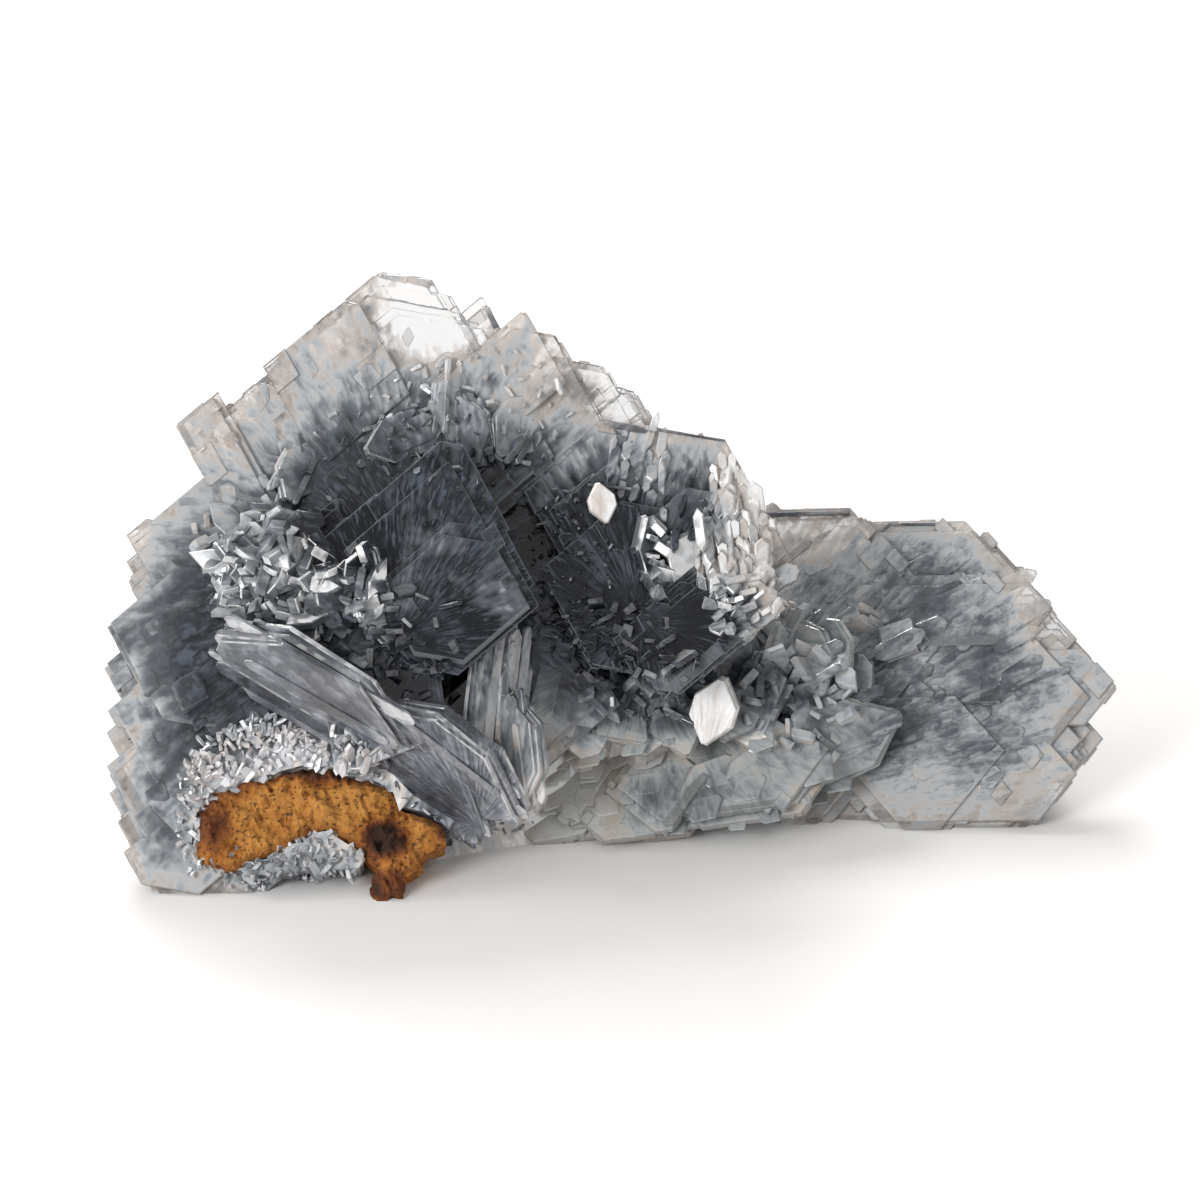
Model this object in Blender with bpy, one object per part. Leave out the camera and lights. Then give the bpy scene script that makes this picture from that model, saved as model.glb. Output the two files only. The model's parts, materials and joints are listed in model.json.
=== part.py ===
"""Blue barite specimen: tabular crystals in parallel growth on a remnant of rusty limonite.

The blades of one growth family lie parallel. Each blade is a plate with the outline of real barite:
two pairs of prism faces that meet at 78 degrees, cut off square by end faces, with a bevelled rim.
Blades are laid out on a drawing sheet that faces a viewer who looks down at the specimen, because a
natural cluster has no plan of its own. The sheet is 1200 units square and SPECIMEN_LENGTH sets its
scale. Everything is in metres, +Z up, with the middle of the base at the origin.
"""

import math
import random
from collections import namedtuple

import bmesh
import bpy
from mathutils import Matrix, Vector
from mathutils.geometry import delaunay_2d_cdt, intersect_point_line

MM = 0.001

# Driving dimensions
SPECIMEN_LENGTH = 110 * MM
BLADE_THICKNESS = 1.9 * MM
RIM_WIDTH = 0.7 * MM
BEVELLED_FROM = 6.9 * MM
MATRIX_THICKNESS = 6.5 * MM
MATRIX_GAP = 0.3 * MM

# Barite's prism faces meet at 78.3 degrees, so each leans half of that from the blade's long axis.
PRISM_HALF_ANGLE = math.radians(39.15)

# The drawing sheet: SHEET_SPAN units across the specimen, seen from SHEET_DISTANCE away.
SHEET_MIDDLE = 600
SHEET_SPAN = 1012
SHEET_UNIT = SPECIMEN_LENGTH / SHEET_SPAN
SHEET_DISTANCE = 600 * MM
LOOKING_DOWN = math.radians(25)
SHEET_PLACE = Vector((-1.7, 3.3, 23.2)) * MM

# Directions of the sheet's view: to its right, up on it, and from it towards the viewer.
RIGHT = Vector((1, 0, 0))
UP = Vector((0, math.sin(LOOKING_DOWN), math.cos(LOOKING_DOWN)))
NEAR = Vector((0, -math.cos(LOOKING_DOWN), math.sin(LOOKING_DOWN)))
EYE = SHEET_PLACE + NEAR * SHEET_DISTANCE
ON_FLOOR = Vector((SHEET_PLACE.x, SHEET_PLACE.y, 0))

# The corner of a blade's outline by which it is placed, as a direction across and along the blade.
CORNERS = {
    "middle": (0, 0),
    "top": (0, 1),
    "top_left": (-0.25, 1),
    "top_right": (0.25, 1),
    "left": (-1, 0),
    "right": (1, 0),
    "foot": (0, -1),
    "foot_right": (0.25, -1),
}

# A growth family is a plane through a point of the sheet, at a depth in mm behind it. pitch leans
# its top away, yaw turns its right side away, and spin turns its blades on the plane, in degrees.
Family = namedtuple("Family", "u v depth pitch yaw spin")

# A blade: which corner lies at (u, v), its layer in front of the family's plane, half the width
# between each pair of prism faces, half its length between end faces, all in mm.
Blade = namedtuple("Blade", "corner u v layer falling rising ends")

FAN = Family(300, 600, -5.5, 10, 0, -10)
FAN_BLADES = (
    Blade("middle", 412, 440, 0.9, 12.5, 12.5, 14.0),
    Blade("middle", 335, 560, 0.2, 15.0, 15.0, 15.5),
    Blade("middle", 288, 722, -0.5, 13.5, 13.5, 13.5),
    Blade("middle", 480, 505, -1.3, 15.5, 15.5, 16.0),
    Blade("middle", 450, 680, -2.4, 14.0, 14.0, 14.0),
    # the peak and the edge that falls away to its left
    Blade("top_left", 380, 272, -0.4, 9.3, 9.3, 11.2),
    Blade("top_left", 345, 303, 1.3, 6.2, 6.2, 8.8),
    Blade("top_left", 321, 331, 0.4, 7.2, 7.2, 9.6),
    Blade("top_left", 296, 350, -0.6, 8.6, 8.6, 11.0),
    Blade("top_left", 262, 385, 0.7, 8.4, 6.4, 9.0),
    Blade("top", 218, 392, 1.9, 11.0, 2.9, 14.0),
    # the saw-toothed left edge, from the top down
    Blade("left", 131, 541, 0.6, 8.5, 9.5, 11.0),
    Blade("left", 127, 563, -0.5, 7.0, 6.0, 8.0),
    Blade("left", 128, 581, 0.3, 6.0, 7.0, 8.0),
    Blade("left", 107, 627, 1.2, 8.5, 8.0, 9.5),
    Blade("left", 104, 668, -0.2, 9.0, 8.5, 10.0),
    Blade("left", 112, 709, 0.8, 8.0, 8.0, 9.0),
    Blade("left", 107, 734, -0.6, 7.5, 8.0, 9.0),
    Blade("left", 107, 767, 0.4, 8.0, 8.0, 9.0),
    Blade("left", 109, 793, -0.9, 8.5, 8.0, 9.5),
    Blade("left", 118, 823, 0.1, 8.0, 8.0, 7.0),
    Blade("left", 126, 856, 0.9, 4.2, 5.0, 3.4),
    Blade("foot", 197, 888, 0.5, 5.5, 5.0, 5.6),
    # the edge that falls away to the right of the peak
    Blade("top_right", 452, 298, -1.1, 8.5, 8.5, 8.5),
    Blade("top", 487, 307, 0.5, 3.2, 2.6, 4.8),
    Blade("top", 521, 314, 1.0, 4.6, 4.6, 6.9),
    Blade("top_right", 556, 336, 0.2, 8.0, 8.0, 9.5),
    Blade("top_right", 604, 366, -2.0, 8.0, 8.0, 9.0),
    Blade("top_right", 626, 388, -1.0, 6.0, 6.0, 8.2),
    Blade("top_right", 638, 397, -2.8, 9.0, 9.0, 13.0),
)

SHOULDER = Family(680, 530, -6.0, 8, 4, -10)
SHOULDER_BLADES = (
    Blade("top_right", 725, 440, 0.0, 10.7, 10.5, 11.7),
    Blade("top_left", 604, 420, -1.1, 10.0, 9.0, 9.8),
    Blade("right", 788, 584, 0.9, 7.5, 8.5, 9.0),
    Blade("right", 778, 614, 2.0, 5.0, 6.5, 7.4),
    Blade("right", 742, 640, 2.9, 4.5, 6.0, 6.0),
    Blade("middle", 640, 590, 0.8, 8.5, 8.5, 9.0),
)

CENTRE = Family(450, 560, -11.5, 6, 0, -10)
CENTRE_BLADES = (
    Blade("top", 467, 464, 0.2, 8.0, 8.0, 11.5),
    Blade("top", 426, 484, -0.7, 7.0, 7.0, 10.0),
    Blade("top", 384, 497, -1.6, 7.0, 7.0, 10.5),
    Blade("top", 343, 499, -2.4, 6.0, 6.0, 9.0),
    Blade("right", 539, 606, 0.9, 6.5, 7.5, 8.0),
    Blade("right", 510, 530, -0.4, 6.0, 6.0, 8.0),
)

SLAB = Family(960, 700, 7.9, 20, -4, 0)
SLAB_BLADES = (
    Blade("middle", 905, 690, 0.4, 14.0, 14.0, 14.0),
    Blade("middle", 815, 650, -0.6, 13.0, 13.0, 13.0),
    Blade("middle", 745, 735, -1.4, 11.0, 11.0, 8.5),
    Blade("right", 1090, 700, 0.9, 13.5, 13.5, 14.0),
    # its upper edge, from left to right
    Blade("top_right", 850, 511, -0.3, 10.0, 10.0, 10.4),
    Blade("top_right", 862, 518, 1.2, 9.0, 9.0, 13.0),
    Blade("top_right", 934, 523, -0.9, 9.0, 9.0, 10.0),
    Blade("top_right", 966, 521, 0.5, 9.5, 9.5, 8.0),
    Blade("top_right", 989, 536, -0.5, 8.5, 8.5, 5.5),
    # its right edge, from the top down
    Blade("top_right", 1018, 573, 1.4, 8.5, 8.5, 4.6),
    Blade("top_right", 1037, 598, 0.0, 9.0, 9.0, 5.2),
    Blade("top_right", 1058, 626, -0.8, 8.0, 8.0, 4.6),
    Blade("right", 1116, 689, 0.4, 7.5, 7.5, 4.4),
    Blade("right", 1103, 739, -0.6, 8.0, 8.0, 6.0),
    Blade("right", 1077, 776, 1.0, 7.5, 7.5, 5.2),
    # the broken lower edge
    Blade("foot_right", 1020, 836, 0.2, 9.0, 9.0, 9.5),
    Blade("foot_right", 955, 836, 1.3, 8.0, 8.0, 8.6),
    Blade("foot_right", 885, 829, -0.3, 7.0, 7.0, 7.4),
    Blade("foot_right", 825, 831, 0.7, 6.5, 6.5, 6.6),
)

APRON = Family(690, 780, 0.5, 34, -6, 6)
APRON_BLADES = (
    Blade("middle", 645, 780, 0.0, 8.5, 8.5, 7.0),
    Blade("middle", 745, 772, 0.9, 8.0, 8.0, 6.0),
    Blade("foot", 690, 832, -0.7, 6.0, 6.0, 6.4),
    Blade("foot_right", 655, 838, 0.6, 6.5, 6.5, 7.0),
    Blade("foot", 578, 841, -0.4, 6.0, 6.0, 6.6),
    Blade("left", 533, 800, 0.3, 5.5, 5.5, 5.5),
    Blade("top", 570, 722, 1.0, 5.0, 5.0, 7.2),
    Blade("top", 660, 738, 1.7, 4.5, 4.5, 6.0),
)

# A crystal that stands across the families: its middle on the sheet and its depth, then how it is
# turned (roll is about its own long axis), half its width and half its length to the pointed tips.
Crystal = namedtuple("Crystal", "u v depth pitch yaw spin roll width tip thick")

CROSSING_CRYSTALS = (
    # the two long blades seen nearly edge on, lower left of the middle
    Crystal(312, 688, -14.0, 0, 0, -121, 52, 5.8, 12.5, 2.4),
    Crystal(352, 712, -12.5, 0, 4, -119, 60, 5.2, 9.0, 1.8),
    Crystal(452, 762, -13.0, 0, -4, -128, 46, 5.4, 10.5, 2.6),
    Crystal(438, 790, -11.0, 0, 0, -131, 40, 4.2, 8.0, 2.0),
    # the upright pair beside them
    Crystal(497, 702, -9.5, 6, 0, -6, 48, 4.2, 9.5, 1.6),
    Crystal(514, 708, -7.0, 4, 0, -2, 62, 4.6, 9.0, 1.5),
    Crystal(513, 752, -11.0, 8, 0, 7, -38, 3.8, 7.2, 2.0),
    # rounded plates in the shade of the hollow
    Crystal(570, 684, -4.0, 4, 16, -14, 0, 4.6, 5.6, 1.4),
    Crystal(556, 700, -5.5, 8, 10, 22, 0, 3.6, 4.8, 1.2),
    Crystal(618, 716, -3.5, 24, 10, 40, 0, 4.0, 4.8, 1.3),
    Crystal(652, 692, -2.0, 10, -12, -20, 0, 4.8, 5.2, 1.4),
    Crystal(678, 722, -3.0, 18, -8, 12, 0, 4.2, 4.6, 1.3),
    # the pale blade in front and its neighbours
    Crystal(714, 711, -4.5, -6, -14, -17, 0, 2.5, 4.3, 1.5),
    Crystal(736, 712, -2.5, 6, 24, -24, 0, 2.6, 4.0, 1.2),
    Crystal(762, 690, 0.0, 10, 38, 8, 0, 3.4, 4.8, 1.2),
    # the sheaf of thin blades on the slab
    Crystal(806, 656, 3.5, 12, -30, 24, 0, 3.2, 5.6, 1.1),
    Crystal(828, 648, 4.5, 14, -38, 30, 0, 3.0, 5.2, 1.0),
    Crystal(784, 664, 3.0, 8, 52, 12, 0, 3.0, 5.2, 1.0),
    Crystal(848, 676, 5.0, 20, -20, 38, 0, 3.0, 4.6, 1.0),
    # the long blades that fan out over the apron
    Crystal(838, 742, 1.5, 30, -6, -66, 22, 4.2, 8.2, 1.6),
    Crystal(776, 774, 0.0, 30, 0, -58, 30, 4.0, 8.4, 1.6),
    Crystal(720, 790, -1.5, 34, 4, -62, 20, 3.6, 6.4, 1.4),
    # the bright nest left of the middle
    Crystal(246, 540, -10.0, 0, 20, -48, 30, 1.8, 6.0, 1.4),
    Crystal(232, 572, -10.0, -8, -30, -10, 0, 2.4, 4.2, 1.2),
    Crystal(262, 592, -11.0, 10, 34, 16, 0, 2.8, 4.4, 1.2),
    Crystal(290, 566, -11.0, -6, 48, -28, 0, 2.6, 4.2, 1.2),
    Crystal(300, 612, -12.0, 14, -22, 30, 0, 3.2, 4.2, 1.3),
    Crystal(336, 600, -12.5, -4, 28, 8, 0, 2.6, 4.6, 1.2),
    Crystal(362, 584, -13.5, -8, -34, -22, 0, 2.6, 4.8, 1.2),
    Crystal(380, 606, -14.0, 12, 22, 14, 0, 3.0, 4.4, 1.2),
    # short blades that stand on the shoulder and in the hollow
    Crystal(602, 503, -8.5, -4, -22, -18, 0, 1.7, 2.5, 0.9),
    Crystal(690, 556, -9.0, -8, 16, -28, 0, 3.0, 4.0, 1.1),
    Crystal(714, 582, -8.5, 6, -20, -26, 0, 2.8, 3.6, 1.1),
    Crystal(620, 540, -7.5, 10, 44, 30, 0, 3.0, 5.4, 1.2),
    # on the upper fan
    Crystal(405, 436, -4.5, 30, 0, -66, 30, 2.6, 5.2, 1.3),
    Crystal(455, 400, -3.0, 8, 36, -8, 0, 2.8, 5.0, 1.2),
    Crystal(470, 430, -4.5, 4, -36, 16, 0, 2.6, 4.6, 1.2),
    Crystal(520, 425, -4.0, 12, 30, -34, 0, 3.0, 5.4, 1.2),
    Crystal(300, 470, -5.0, 10, 30, -30, 0, 2.6, 4.4, 1.2),
    # embedded in the slab, at its right
    Crystal(898, 640, 7.6, 16, 4, -30, 0, 2.8, 3.4, 1.2),
    Crystal(918, 698, 6.6, 26, -8, 8, 0, 2.2, 2.8, 1.2),
    # the round clear crystal at the lower left
    Crystal(190, 692, -10.0, 4, 14, -16, 0, 2.4, 2.8, 2.6),
)

# Stout crystals under the others, which join the families into one body
STOUT_CRYSTALS = (
    Crystal(292, 590, -8.5, 8, 0, -10, 0, 7.0, 9.0, 6.0),
    Crystal(430, 580, -8.0, 6, 0, -10, 0, 8.0, 9.5, 6.5),
    Crystal(385, 700, -8.5, 6, 0, -30, 0, 9.0, 10.0, 7.0),
    Crystal(480, 740, -5.5, 8, 0, -10, 0, 7.0, 8.5, 8.0),
    Crystal(575, 705, -0.5, 14, 6, 10, 0, 7.0, 8.0, 6.0),
    Crystal(655, 712, 1.5, 20, 0, -14, 0, 7.0, 7.0, 6.0),
    Crystal(740, 706, 3.5, 20, -6, 18, 0, 7.0, 7.0, 6.0),
    Crystal(812, 682, 6.5, 20, -6, -20, 0, 6.0, 7.0, 5.0),
)

# A blade of the hidden back: its middle in mm from the floor under the sheet's middle, how far its
# top leans away from the viewer, how far it turns about the vertical, its spin, half its width, half
# its length, thickness.
Buttress = namedtuple("Buttress", "x y z lean turn spin width tip thick")

BUTTRESSES = (
    # plates that lean forward against the fan's back, in steps
    Buttress(-20, 11.0, 19, -14, 3, -6, 15.0, 20.0, 2.4),
    Buttress(-25, 13.6, 15, -14, 3, -6, 12.0, 16.0, 2.2),
    Buttress(-13, 13.9, 11, -14, 3, 10, 11.0, 13.0, 2.0),
    Buttress(-28, 8.5, 23, -14, 3, 4, 12.0, 17.0, 2.2),
    Buttress(-41, 2.0, 20, -10, -40, 8, 9.0, 16.0, 2.2),
    Buttress(-44, -3.0, 14, -10, -40, 8, 7.0, 12.0, 2.0),
    Buttress(4, 9.5, 16, -22, 16, -4, 14.0, 17.0, 2.4),
    Buttress(9, 12.0, 11, -22, 16, 8, 11.0, 13.0, 2.2),
    Buttress(20, 4.5, 10, -8, 62, -4, 10.0, 12.0, 2.2),
    # plates that prop up the slab
    Buttress(30, 12.0, 9, -30, -8, 6, 12.0, 12.5, 2.2),
    Buttress(38, 13.0, 7, -34, -14, -10, 9.0, 10.5, 2.0),
    Buttress(44, 7.0, 6, -16, -60, 0, 9.0, 9.0, 2.0),
)

# The massive barite between the fronts and the backs, as three wedges that end in the flat break on
# which the specimen rests. Corners in mm from the floor under the sheet's middle.
WEDGES = (
    # behind the fan
    (
        (-40, -17, 0), (-24, -19, 0), (-10, -12, 0), (2, -9, 0), (2, 13, 0), (-36, 12, 0),
        (-36, 3.5, 33), (-12, 5.5, 37), (-1, 2, 28),
    ),
    # behind the shoulder
    ((0, -9, 0), (18, -6, 0), (20, 11, 0), (0, 13, 0), (4, -1, 27), (16, -1, 25), (2, 2, 28)),
    # under the slab
    ((14, -6, 0), (46, -4, 0), (47, 10, 0), (14, 13, 0), (18, 11, 13), (42, 11, 13)),
)  # fmt: skip

# The rusty remnant, as an outline on the sheet, and the depth and pitch of its broken face.
MATRIX_OUTLINE = (
    (222, 782), (243, 777), (272, 772), (302, 764), (324, 763), (345, 772), (369, 777), (390, 785),
    (399, 806), (432, 814), (447, 829), (447, 842), (431, 850), (424, 865), (409, 876), (403, 897),
    (376, 901), (371, 893), (373, 866), (350, 843), (325, 828), (313, 831), (301, 841), (284, 848),
    (259, 858), (242, 867), (224, 871), (206, 864), (191, 853), (194, 832), (196, 812), (203, 796),
)  # fmt: skip
MATRIX_FACE = Family(320, 820, -13.2, 14, 0, 0)
MATRIX_GRID = 17
MATRIX_RELIEF = 0.9 * MM

# The sugary crust of small crystals round the remnant
CRUST_ROWS = ((1.08, 17, 1.9), (1.2, 13, 2.2))
CRUST_SEED = 7
CRUST_BEDS = (
    Blade("middle", 300, 808, -4.3, 9.5, 9.5, 7.6),
    Blade("middle", 222, 804, -4.5, 6.0, 6.0, 7.4),
    Blade("middle", 385, 806, -5.0, 7.5, 7.5, 6.6),
)
BED_THICKNESS = 6.2 * MM

FLOOR_SLAB = 40 * MM


def turned(pitch, yaw, spin, roll=0.0):
    """Axes of a blade as seen on the sheet: across it, along it, and out of its face."""
    view = Matrix((RIGHT, UP, NEAR)).transposed()
    return (
        view
        @ Matrix.Rotation(math.radians(-pitch), 3, "X")
        @ Matrix.Rotation(math.radians(yaw), 3, "Y")
        @ Matrix.Rotation(math.radians(spin), 3, "Z")
        @ Matrix.Rotation(math.radians(roll), 3, "Y")
    )


def seen_at(u, v, depth):
    """The point seen at (u, v) of the sheet, depth metres behind it."""
    spread = (SHEET_DISTANCE + depth) / SHEET_DISTANCE
    across = (u - SHEET_MIDDLE) * SHEET_UNIT * spread
    height = (SHEET_MIDDLE - v) * SHEET_UNIT * spread
    return SHEET_PLACE + RIGHT * across + UP * height - NEAR * depth


def on_plane(u, v, family, axes, layer):
    """The point of a family's layer that is seen at (u, v)."""
    normal = axes.col[2]
    start = seen_at(family.u, family.v, family.depth * MM) + normal * layer
    ray = seen_at(u, v, 0.0) - EYE
    return EYE + ray * ((start - EYE).dot(normal) / ray.dot(normal))


def clipped(polygon, direction, reach):
    """The part of a convex polygon within reach of the middle in one direction."""
    kept = []
    for i, point in enumerate(polygon):
        following = polygon[(i + 1) % len(polygon)]
        here, there = point.dot(direction) - reach, following.dot(direction) - reach
        if here <= 0:
            kept.append(point)
        if here * there < 0:
            kept.append(point.lerp(following, here / (here - there)))
    return kept


def blade_outline(falling, rising, ends, sides, inset=0.0):
    """A barite blade's outline: two pairs of prism faces, end faces and side faces."""
    cos, sin = math.cos(PRISM_HALF_ANGLE), math.sin(PRISM_HALF_ANGLE)
    limits = (
        (Vector((-cos, sin)), falling),
        (Vector((cos, sin)), rising),
        (Vector((0, 1)), ends),
        (Vector((1, 0)), sides),
    )
    far = 1.0
    polygon = [Vector(p) for p in ((-far, -far), (far, -far), (far, far), (-far, far))]
    for direction, reach in limits:
        for side in (direction, -direction):
            polygon = clipped(polygon, side, reach - inset)
    return polygon


def hull_mesh(name, points):
    """A closed mesh, the convex hull of these points."""
    shape = bmesh.new()
    for point in points:
        shape.verts.new(point)
    made = bmesh.ops.convex_hull(shape, input=shape.verts)
    inner = [v for v in made["geom_interior"] if isinstance(v, bmesh.types.BMVert)]
    bmesh.ops.delete(shape, geom=inner, context="VERTS")
    bmesh.ops.recalc_face_normals(shape, faces=shape.faces)
    mesh = bpy.data.meshes.new(name)
    shape.to_mesh(mesh)
    shape.free()
    return mesh


def blade_points(outline_of, middle, axes, thickness, width):
    """The corners of a blade; a wide one is bevelled to narrower faces, a small one is not."""
    rings = ((0.0, thickness / 2), (0.0, -thickness / 2))
    if width > BEVELLED_FROM:
        rings = ((0.0, 0.0), (RIM_WIDTH, thickness / 2), (RIM_WIDTH, -thickness / 2))
    return [
        middle + axes @ Vector((p.x, p.y, level))
        for inset, level in rings
        for p in outline_of(inset)
    ]


def family_blades(family, blades, name):
    """The meshes of one growth family."""
    axes = turned(family.pitch, family.yaw, family.spin)
    meshes = []
    for count, blade in enumerate(blades):
        sizes = [size * MM for size in (blade.falling, blade.rising, blade.ends)]

        def outline_of(inset, sizes=sizes):
            return blade_outline(*sizes, sides=1.0, inset=inset)

        direction = Vector(CORNERS[blade.corner])
        corner = Vector((0, 0))
        if direction.length:
            corner = max(outline_of(0.0), key=direction.dot)
        place = on_plane(blade.u, blade.v, family, axes, blade.layer * MM)
        middle = place - axes @ Vector((corner.x, corner.y, 0))
        # Alternate blades differ a little in thickness, so that no two faces share a plane.
        thickness = BLADE_THICKNESS * (1.0 + 0.13 * ((count * 5) % 7 - 3) / 3)
        corners = blade_points(outline_of, middle, axes, thickness, min(sizes))
        meshes.append(hull_mesh(name, corners))
    return meshes


def pointed_blade(name, middle, axes, width, tip, thickness):
    """A lone blade with parallel sides and pointed tips, cut square a little short of the point."""
    prism = tip * math.sin(PRISM_HALF_ANGLE)

    def outline_of(inset):
        return blade_outline(prism, prism, 0.9 * tip, width, inset)

    return hull_mesh(name, blade_points(outline_of, middle, axes, thickness, width))


def lone_crystals(crystals, name):
    """The crystals that stand across the growth families."""
    meshes = []
    for c in crystals:
        axes = turned(c.pitch, c.yaw, c.spin, c.roll)
        middle = seen_at(c.u, c.v, c.depth * MM)
        meshes.append(pointed_blade(name, middle, axes, c.width * MM, c.tip * MM, c.thick * MM))
    return meshes


def buttresses():
    """The blades of the hidden back, which prop the fan and the slab up."""
    meshes = []
    for b in BUTTRESSES:
        axes = (
            Matrix.Rotation(math.radians(b.turn), 3, "Z")
            @ Matrix.Rotation(math.radians(90 - b.lean), 3, "X")
            @ Matrix.Rotation(math.radians(b.spin), 3, "Z")
        )
        middle = ON_FLOOR + Vector((b.x, b.y, b.z)) * MM
        meshes.append(
            pointed_blade("buttress", middle, axes, b.width * MM, b.tip * MM, b.thick * MM)
        )
    return meshes


def crust_crystals():
    """The small crystals of the crust, in rows round the remnant's outline."""
    dice = random.Random(CRUST_SEED)
    corners = [Vector(p) for p in MATRIX_OUTLINE]
    middle = sum(corners, Vector((0, 0))) / len(corners)
    axes = turned(MATRIX_FACE.pitch, 0, 0)
    meshes = []
    for spread, count, size in CRUST_ROWS:
        for step in range(count):
            along = step * len(corners) / count
            first = corners[int(along)]
            following = corners[(int(along) + 1) % len(corners)]
            point = middle + (first.lerp(following, along % 1) - middle) * spread
            if point.y > 880:
                continue
            layer = dice.uniform(-1.6, -0.2) * MM
            place = on_plane(point.x, point.y, MATRIX_FACE, axes, layer)
            lie = turned(dice.uniform(-20, 50), dice.uniform(-55, 55), dice.uniform(-90, 90))
            width = size * dice.uniform(0.7, 1.15) * MM
            meshes.append(pointed_blade("crust", place, lie, width, width * 1.5, width * 0.6))
    return meshes


def crust_beds():
    """The thick beds behind the remnant, from which the crust grows."""
    axes = turned(MATRIX_FACE.pitch, 0, 4)
    meshes = []
    for bed in CRUST_BEDS:
        middle = on_plane(bed.u, bed.v, MATRIX_FACE, axes, bed.layer * MM)

        def outline_of(inset, bed=bed):
            return blade_outline(bed.falling * MM, bed.rising * MM, bed.ends * MM, 1.0, inset)

        corners = blade_points(outline_of, middle, axes, BED_THICKNESS, bed.ends * MM)
        meshes.append(hull_mesh("bed", corners))
    return meshes


def wedges():
    """The massive barite in the middle of the specimen."""
    return [
        hull_mesh("wedge", [ON_FLOOR + Vector(corner) * MM for corner in corners])
        for corners in WEDGES
    ]


def rust_relief(point):
    """Height of the rusty face above its plane, from a few broad swells."""
    x, y = point.x / MM, point.y / MM
    swell = math.sin(0.55 * x + 0.8) * math.cos(0.8 * y - 0.4) + 0.6 * math.sin(1.3 * x + 1.1 * y)
    return MATRIX_RELIEF * swell


def edge_distance(point, outline):
    """How far a point inside an outline is from its edge."""
    nearest = 1.0
    for i, start in enumerate(outline):
        end = outline[(i + 1) % len(outline)]
        foot, share = intersect_point_line(point, start, end)
        foot = start.lerp(end, min(max(share, 0.0), 1.0))
        nearest = min(nearest, (point - foot).length)
    return nearest


def matrix_mesh(name, grow=0.0):
    """The rusty remnant: a rough face with a rounded edge, on a slab; grow swells it all round."""
    axes = turned(MATRIX_FACE.pitch, 0, 0)
    origin = seen_at(MATRIX_FACE.u, MATRIX_FACE.v, MATRIX_FACE.depth * MM)
    outline = []
    for u, v in MATRIX_OUTLINE:
        place = on_plane(u, v, MATRIX_FACE, axes, 0.0) - origin
        outline.append(Vector((place.dot(axes.col[0]), place.dot(axes.col[1]))))
    if grow:
        outline = swollen(outline, grow)
    left, right = min(p.x for p in outline), max(p.x for p in outline)
    low, high = min(p.y for p in outline), max(p.y for p in outline)
    step = (right - left) / MATRIX_GRID
    rows = int((high - low) / step)
    inner = [
        Vector((left + (i + 0.5 * (j % 2)) * step, low + j * step))
        for i in range(MATRIX_GRID)
        for j in range(rows)
    ]
    count = len(outline)
    edges = [(i, (i + 1) % count) for i in range(count)]
    inside = [p for p in inner if within(p, outline) and edge_distance(p, outline) > 0.4 * step]
    made = delaunay_2d_cdt(outline + inside, edges, [], 1, 1e-7)
    flat, faces = made[0], made[2]
    shape = bmesh.new()
    front, back = [], []
    for point in flat:
        depth_in = edge_distance(point, outline)
        shoulder = 1.8 * MM * (1 - math.exp(-depth_in / (1.1 * MM))) - 1.8 * MM
        top = shoulder + rust_relief(point) * min(1.0, depth_in / (2 * MM)) + grow
        bottom = -MATRIX_THICKNESS - grow
        front.append(shape.verts.new(origin + axes @ Vector((point.x, point.y, top))))
        back.append(shape.verts.new(origin + axes @ Vector((point.x, point.y, bottom))))
    for face in faces:
        shape.faces.new([front[i] for i in face])
        shape.faces.new([back[i] for i in reversed(face)])
    rim = {}
    for edge in [e for e in shape.edges if e.is_boundary]:
        rim.setdefault(edge.verts[0] in front, []).append(edge)
    bmesh.ops.bridge_loops(shape, edges=rim[True] + rim[False])
    bmesh.ops.triangulate(shape, faces=[f for f in shape.faces if len(f.verts) > 3])
    bmesh.ops.recalc_face_normals(shape, faces=shape.faces)
    mesh = bpy.data.meshes.new(name)
    shape.to_mesh(mesh)
    shape.free()
    return mesh


def swollen(outline, grow):
    """An outline moved outwards by grow."""
    moved = []
    count = len(outline)
    for i, point in enumerate(outline):
        before, after = outline[i - 1], outline[(i + 1) % count]
        along = (after - before).normalized()
        outwards = Vector((-along.y, along.x))
        if within(point + outwards * 1e-5, outline):
            outwards.negate()
        moved.append(point + outwards * grow * 1.3)
    return moved


def within(point, outline):
    """Whether a point lies inside an outline."""
    inside = False
    for i, start in enumerate(outline):
        end = outline[(i + 1) % len(outline)]
        if (start.y > point.y) != (end.y > point.y):
            crossing = start.x + (point.y - start.y) / (end.y - start.y) * (end.x - start.x)
            inside ^= point.x < crossing
    return inside


def box_mesh(name, low, high):
    """A plain box between two corners."""
    points = [(x, y, z) for x in (low.x, high.x) for y in (low.y, high.y) for z in (low.z, high.z)]
    return hull_mesh(name, points)


def material(name, colour, roughness):
    """A plain material of the mineral's colour."""
    made = bpy.data.materials.new(name)
    made.use_nodes = True
    shader = made.node_tree.nodes["Principled BSDF"]
    shader.inputs["Base Color"].default_value = (*colour, 1)
    shader.inputs["Roughness"].default_value = roughness
    shader.inputs["Metallic"].default_value = 0.0
    return made


def add_object(mesh, name, helper_in=None):
    """An object of the scene, or a helper that is kept out of the model."""
    made = bpy.data.objects.new(name, mesh)
    bpy.context.scene.collection.objects.link(made)
    if helper_in is not None:
        bpy.context.scene.collection.objects.unlink(made)
        helper_in.objects.link(made)
        made.hide_render = True
        made.display_type = "WIRE"
    return made


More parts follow.
